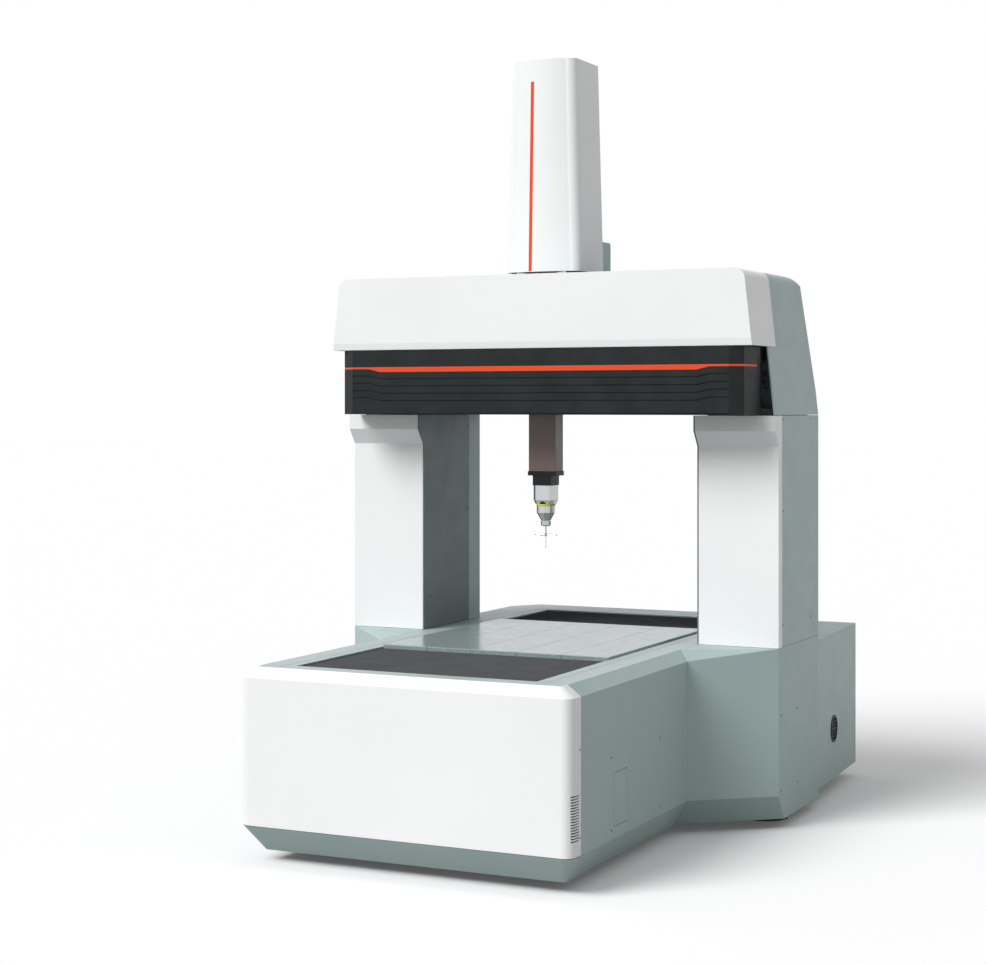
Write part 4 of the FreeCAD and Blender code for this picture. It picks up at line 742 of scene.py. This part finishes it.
class Workshop:
    """Dresses nodes, and puts finished pieces on their bodies."""

    def __init__(self, frame: dict) -> None:
        """Keep the frame and its record slots.
        """
        self.nodes: dict[str, bpy.types.Object] = frame["nodes"]
        self.finishes = Finishes()
        self.slots = {p["node"]: p["material_slot"] for p in frame["record"]["subparts"]}
        self.dressed: set[str] = set()

    def dress(self, node: str, finish: Finish, edge: float = 0.0) -> None:
        """Give a node its finish, and soften its edges.

        Args:
            node: name of the node.
            finish: its finish.
            edge: width of the rounding on its edges in metres, none if 0.
        """
        piece = self.nodes[node]
        piece.data.materials.clear()
        piece.data.materials.append(self.finishes.get(finish))
        self.dressed.add(node)
        if edge:
            weld = piece.modifiers.new("weld", "WEIGHTED_NORMAL")
            piece.modifiers.remove(weld)
            weld = piece.modifiers.new("weld", "WELD")
            weld.merge_threshold = 0.00002
            bevel = piece.modifiers.new("soft_edges", "BEVEL")
            bevel.width = edge
            bevel.segments = 2
            bevel.limit_method = "ANGLE"
            bevel.angle_limit = math.radians(28)
            bevel.harden_normals = False
            bevel.use_clamp_overlap = True

    def mount(self, piece: bpy.types.Object, body: Body, finish: Finish, slot: str,
              replaces: tuple[str, ...] = ()) -> bpy.types.Object:
        """Finish a new piece and put it on its body.

        Args:
            piece: the new piece.
            body: the body that carries it.
            finish: its finish.
            slot: record slot, not used.
            replaces: nodes that it stands for.

        Returns:
            The piece.
        """
        piece.data.materials.append(self.finishes.get(finish))
        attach(piece, body.value)
        if replaces:
            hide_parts(*replaces)
            self.dressed.update(replaces)
        log.info("made %s on %s", piece.name, body.value)
        return piece


class Assembly:
    """A sub-assembly of the machine."""

    title = "assembly"

    def build(self, shop: Workshop) -> None:
        """Build and dress every piece of the sub-assembly."""
        raise NotImplementedError


@dataclass
class NodeFinishes(Assembly):
    """Finishes of the nodes whose shape is already right."""

    title = "plain nodes"
    sheet_edge: float = 1.2 * MM
    table: dict[Finish, tuple[str, ...]] = field(default_factory=lambda: {
        Finish.WHITE: ("front_cover", "column_front_cover_right", "column_front_cover_left",
                       "bridge_front_cover", "tower_cover"),
        Finish.GRAY: ("front_plinth", "side_panel_left", "side_panel_right", "service_panel",
                      "wing_cover_left", "wing_cover_right", "rear_cover", "rear_cabinet",
                      "column_side_covers", "bridge_side_cover_right", "bridge_side_cover_left",
                      "bridge_rear_cover", "cable_box"),
        Finish.LIGHT_GRAY: ("top_frame",),
        # the inner column covers take the darker gray as painted shade
        Finish.INNER_PAINTED_SHADE_GRAY: ("column_inner_covers",),
        Finish.FRAME: ("cover_frame",),
        Finish.BLACK: ("fascia", "bridge_bottom_cover", "fan_ring", "fan_rotor", "drive_motors", "z_motor",
                       "probe_adapter"),
        Finish.ORANGE: ("fascia_stripe", "tower_stripe"),
        Finish.STEEL: ("guideways", "linear_scales", "screw_bearings", "y_screw", "y_nut"),
        Finish.STEEL_X: ("x_screw", "x_nut"),
        Finish.STEEL_Z: ("z_screw", "z_nut", "stylus"),
        Finish.BLACK_STEEL: ("levelling_mounts", "cover_screws"),
        Finish.CAST_IRON: ("base_casting", "column_castings", "cross_beam", "saddle"),
        Finish.CAST_ALUMINIUM: ("carriage", "z_mast"),
        Finish.ALUMINIUM: ("table_air_pads", "carriage_air_pads", "probe_x_stage", "probe_y_stage"),
        Finish.SILVER: ("probe_head", "probe_nose"),
        Finish.YELLOW: ("probe_ring",),
        Finish.GRANITE: ("table_top",),
        Finish.CERAMIC: ("ram",),
        Finish.RUBY: ("stylus_balls",),
        Finish.PLEAT: ("front_bellows", "rear_bellows"),
    })

    def build(self, shop: Workshop) -> None:
        """Dress every node in the table.

        Args:
            shop: the workshop that holds the nodes.
        """
        for finish, nodes in self.table.items():
            for node in nodes:
                shop.dress(node, finish)


# ---- Studio -------------------------------------------------------------------


@dataclass
class Studio:
    """Pale floor, soft key light from the front left, even fill, and the camera."""

    floor_half: float = 60.0
    fill: float = 0.42
    key: float = 2.62
    key_from: Point = (-0.35, -0.66, 0.66)
    key_softness: float = 32.0
    floor_shown: float = 0.95
    floor_bounce: float = 0.42
    camera_at: Point = (3.3133, -7.4605, 1.6533)
    camera_turn: float = 25.7
    lens: float = 73.25
    shift: float = -0.0778

    def build(self) -> None:
        """Make the floor, the world, the lamp and the camera."""
        self.make_floor()
        self.make_world()
        self.make_key()
        self.make_camera()
        bpy.context.scene.view_settings.view_transform = "Standard"

    def seen_directly(self, tree: bpy.types.NodeTree) -> bpy.types.NodeSocket:
        """Value that is 1 for camera, gloss and glass rays, and 0 for light bounces.

        Args:
            tree: node tree that gets the value.

        Returns:
            The value.
        """
        path = tree.nodes.new("ShaderNodeLightPath")
        total = path.outputs["Is Camera Ray"]
        for name in ("Is Glossy Ray", "Is Transmission Ray"):
            either = tree.nodes.new("ShaderNodeMath")
            either.operation = "MAXIMUM"
            tree.links.new(total, either.inputs[0])
            tree.links.new(path.outputs[name], either.inputs[1])
            total = either.outputs["Value"]
        return total

    def make_floor(self) -> None:
        """Make the floor, which shows white and bounces less light."""
        h = self.floor_half
        floor = Sketch().sheet([[(-h, -h, 0.0), (h, -h, 0.0)], [(-h, h, 0.0), (h, h, 0.0)]]).finish("floor")
        s = Shader("studio_floor")
        shown, bounce = (self.floor_shown,) * 3, (self.floor_bounce,) * 3
        s.drive("Base Color", s.mixed(self.seen_directly(s.tree), bounce, shown))
        lift = s.node("ShaderNodeMath", {"operation": "MULTIPLY"})
        s.link(self.seen_directly(s.tree), lift.inputs[0])
        lift.inputs[1].default_value = 0.07
        s.drive("Emission Strength", lift.outputs["Value"])
        s.plain(Roughness=0.9, Specular_IOR_Level=0.0, Emission_Color=(1.0, 1.0, 1.0))
        floor.data.materials.append(s.material)

    def make_world(self) -> None:
        """Make the even surrounding light, shown as white."""
        world = bpy.data.worlds.new("studio")
        bpy.context.scene.world = world
        world.use_nodes = True
        tree = world.node_tree
        back = tree.nodes["Background"]
        level = tree.nodes.new("ShaderNodeMapRange")
        level.inputs["To Min"].default_value = self.fill
        level.inputs["To Max"].default_value = 1.0
        tree.links.new(self.seen_directly(tree), level.inputs["Value"])
        tree.links.new(level.outputs["Result"], back.inputs["Strength"])
        back.inputs["Color"].default_value = (1.0, 1.0, 1.0, 1.0)

    def make_key(self) -> None:
        """Make the broad key light."""
        lamp = bpy.data.lights.new("key", "SUN")
        lamp.energy = self.key
        lamp.angle = math.radians(self.key_softness)
        key = bpy.data.objects.new("key", lamp)
        key.rotation_euler = Vector(self.key_from).to_track_quat("Z", "Y").to_euler()
        bpy.context.scene.collection.objects.link(key)

    def make_camera(self) -> None:
        """Make the camera."""
        data = bpy.data.cameras.new("camera")
        data.lens = self.lens
        data.sensor_width = 36.0
        data.shift_y = self.shift
        data.clip_end = 200.0
        camera = bpy.data.objects.new("camera", data)
        camera.location = self.camera_at
        camera.rotation_euler = (math.radians(90), 0.0, math.radians(self.camera_turn))
        bpy.context.scene.collection.objects.link(camera)
        bpy.context.scene.camera = camera


def main() -> None:
    """Build the whole machine and its studio in order."""
    logging.basicConfig(level=logging.INFO, format="%(name)s: %(message)s")
    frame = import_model()
    Studio().build()
    shop = Workshop(frame)
    for assembly in (NodeFinishes(),):
        log.info("building %s", assembly.title)
        assembly.build(shop)
    bare = sorted(set(shop.nodes) - shop.dressed)
    log.info("nodes without a finish: %s", bare)


if __name__ == "__main__":
    main()
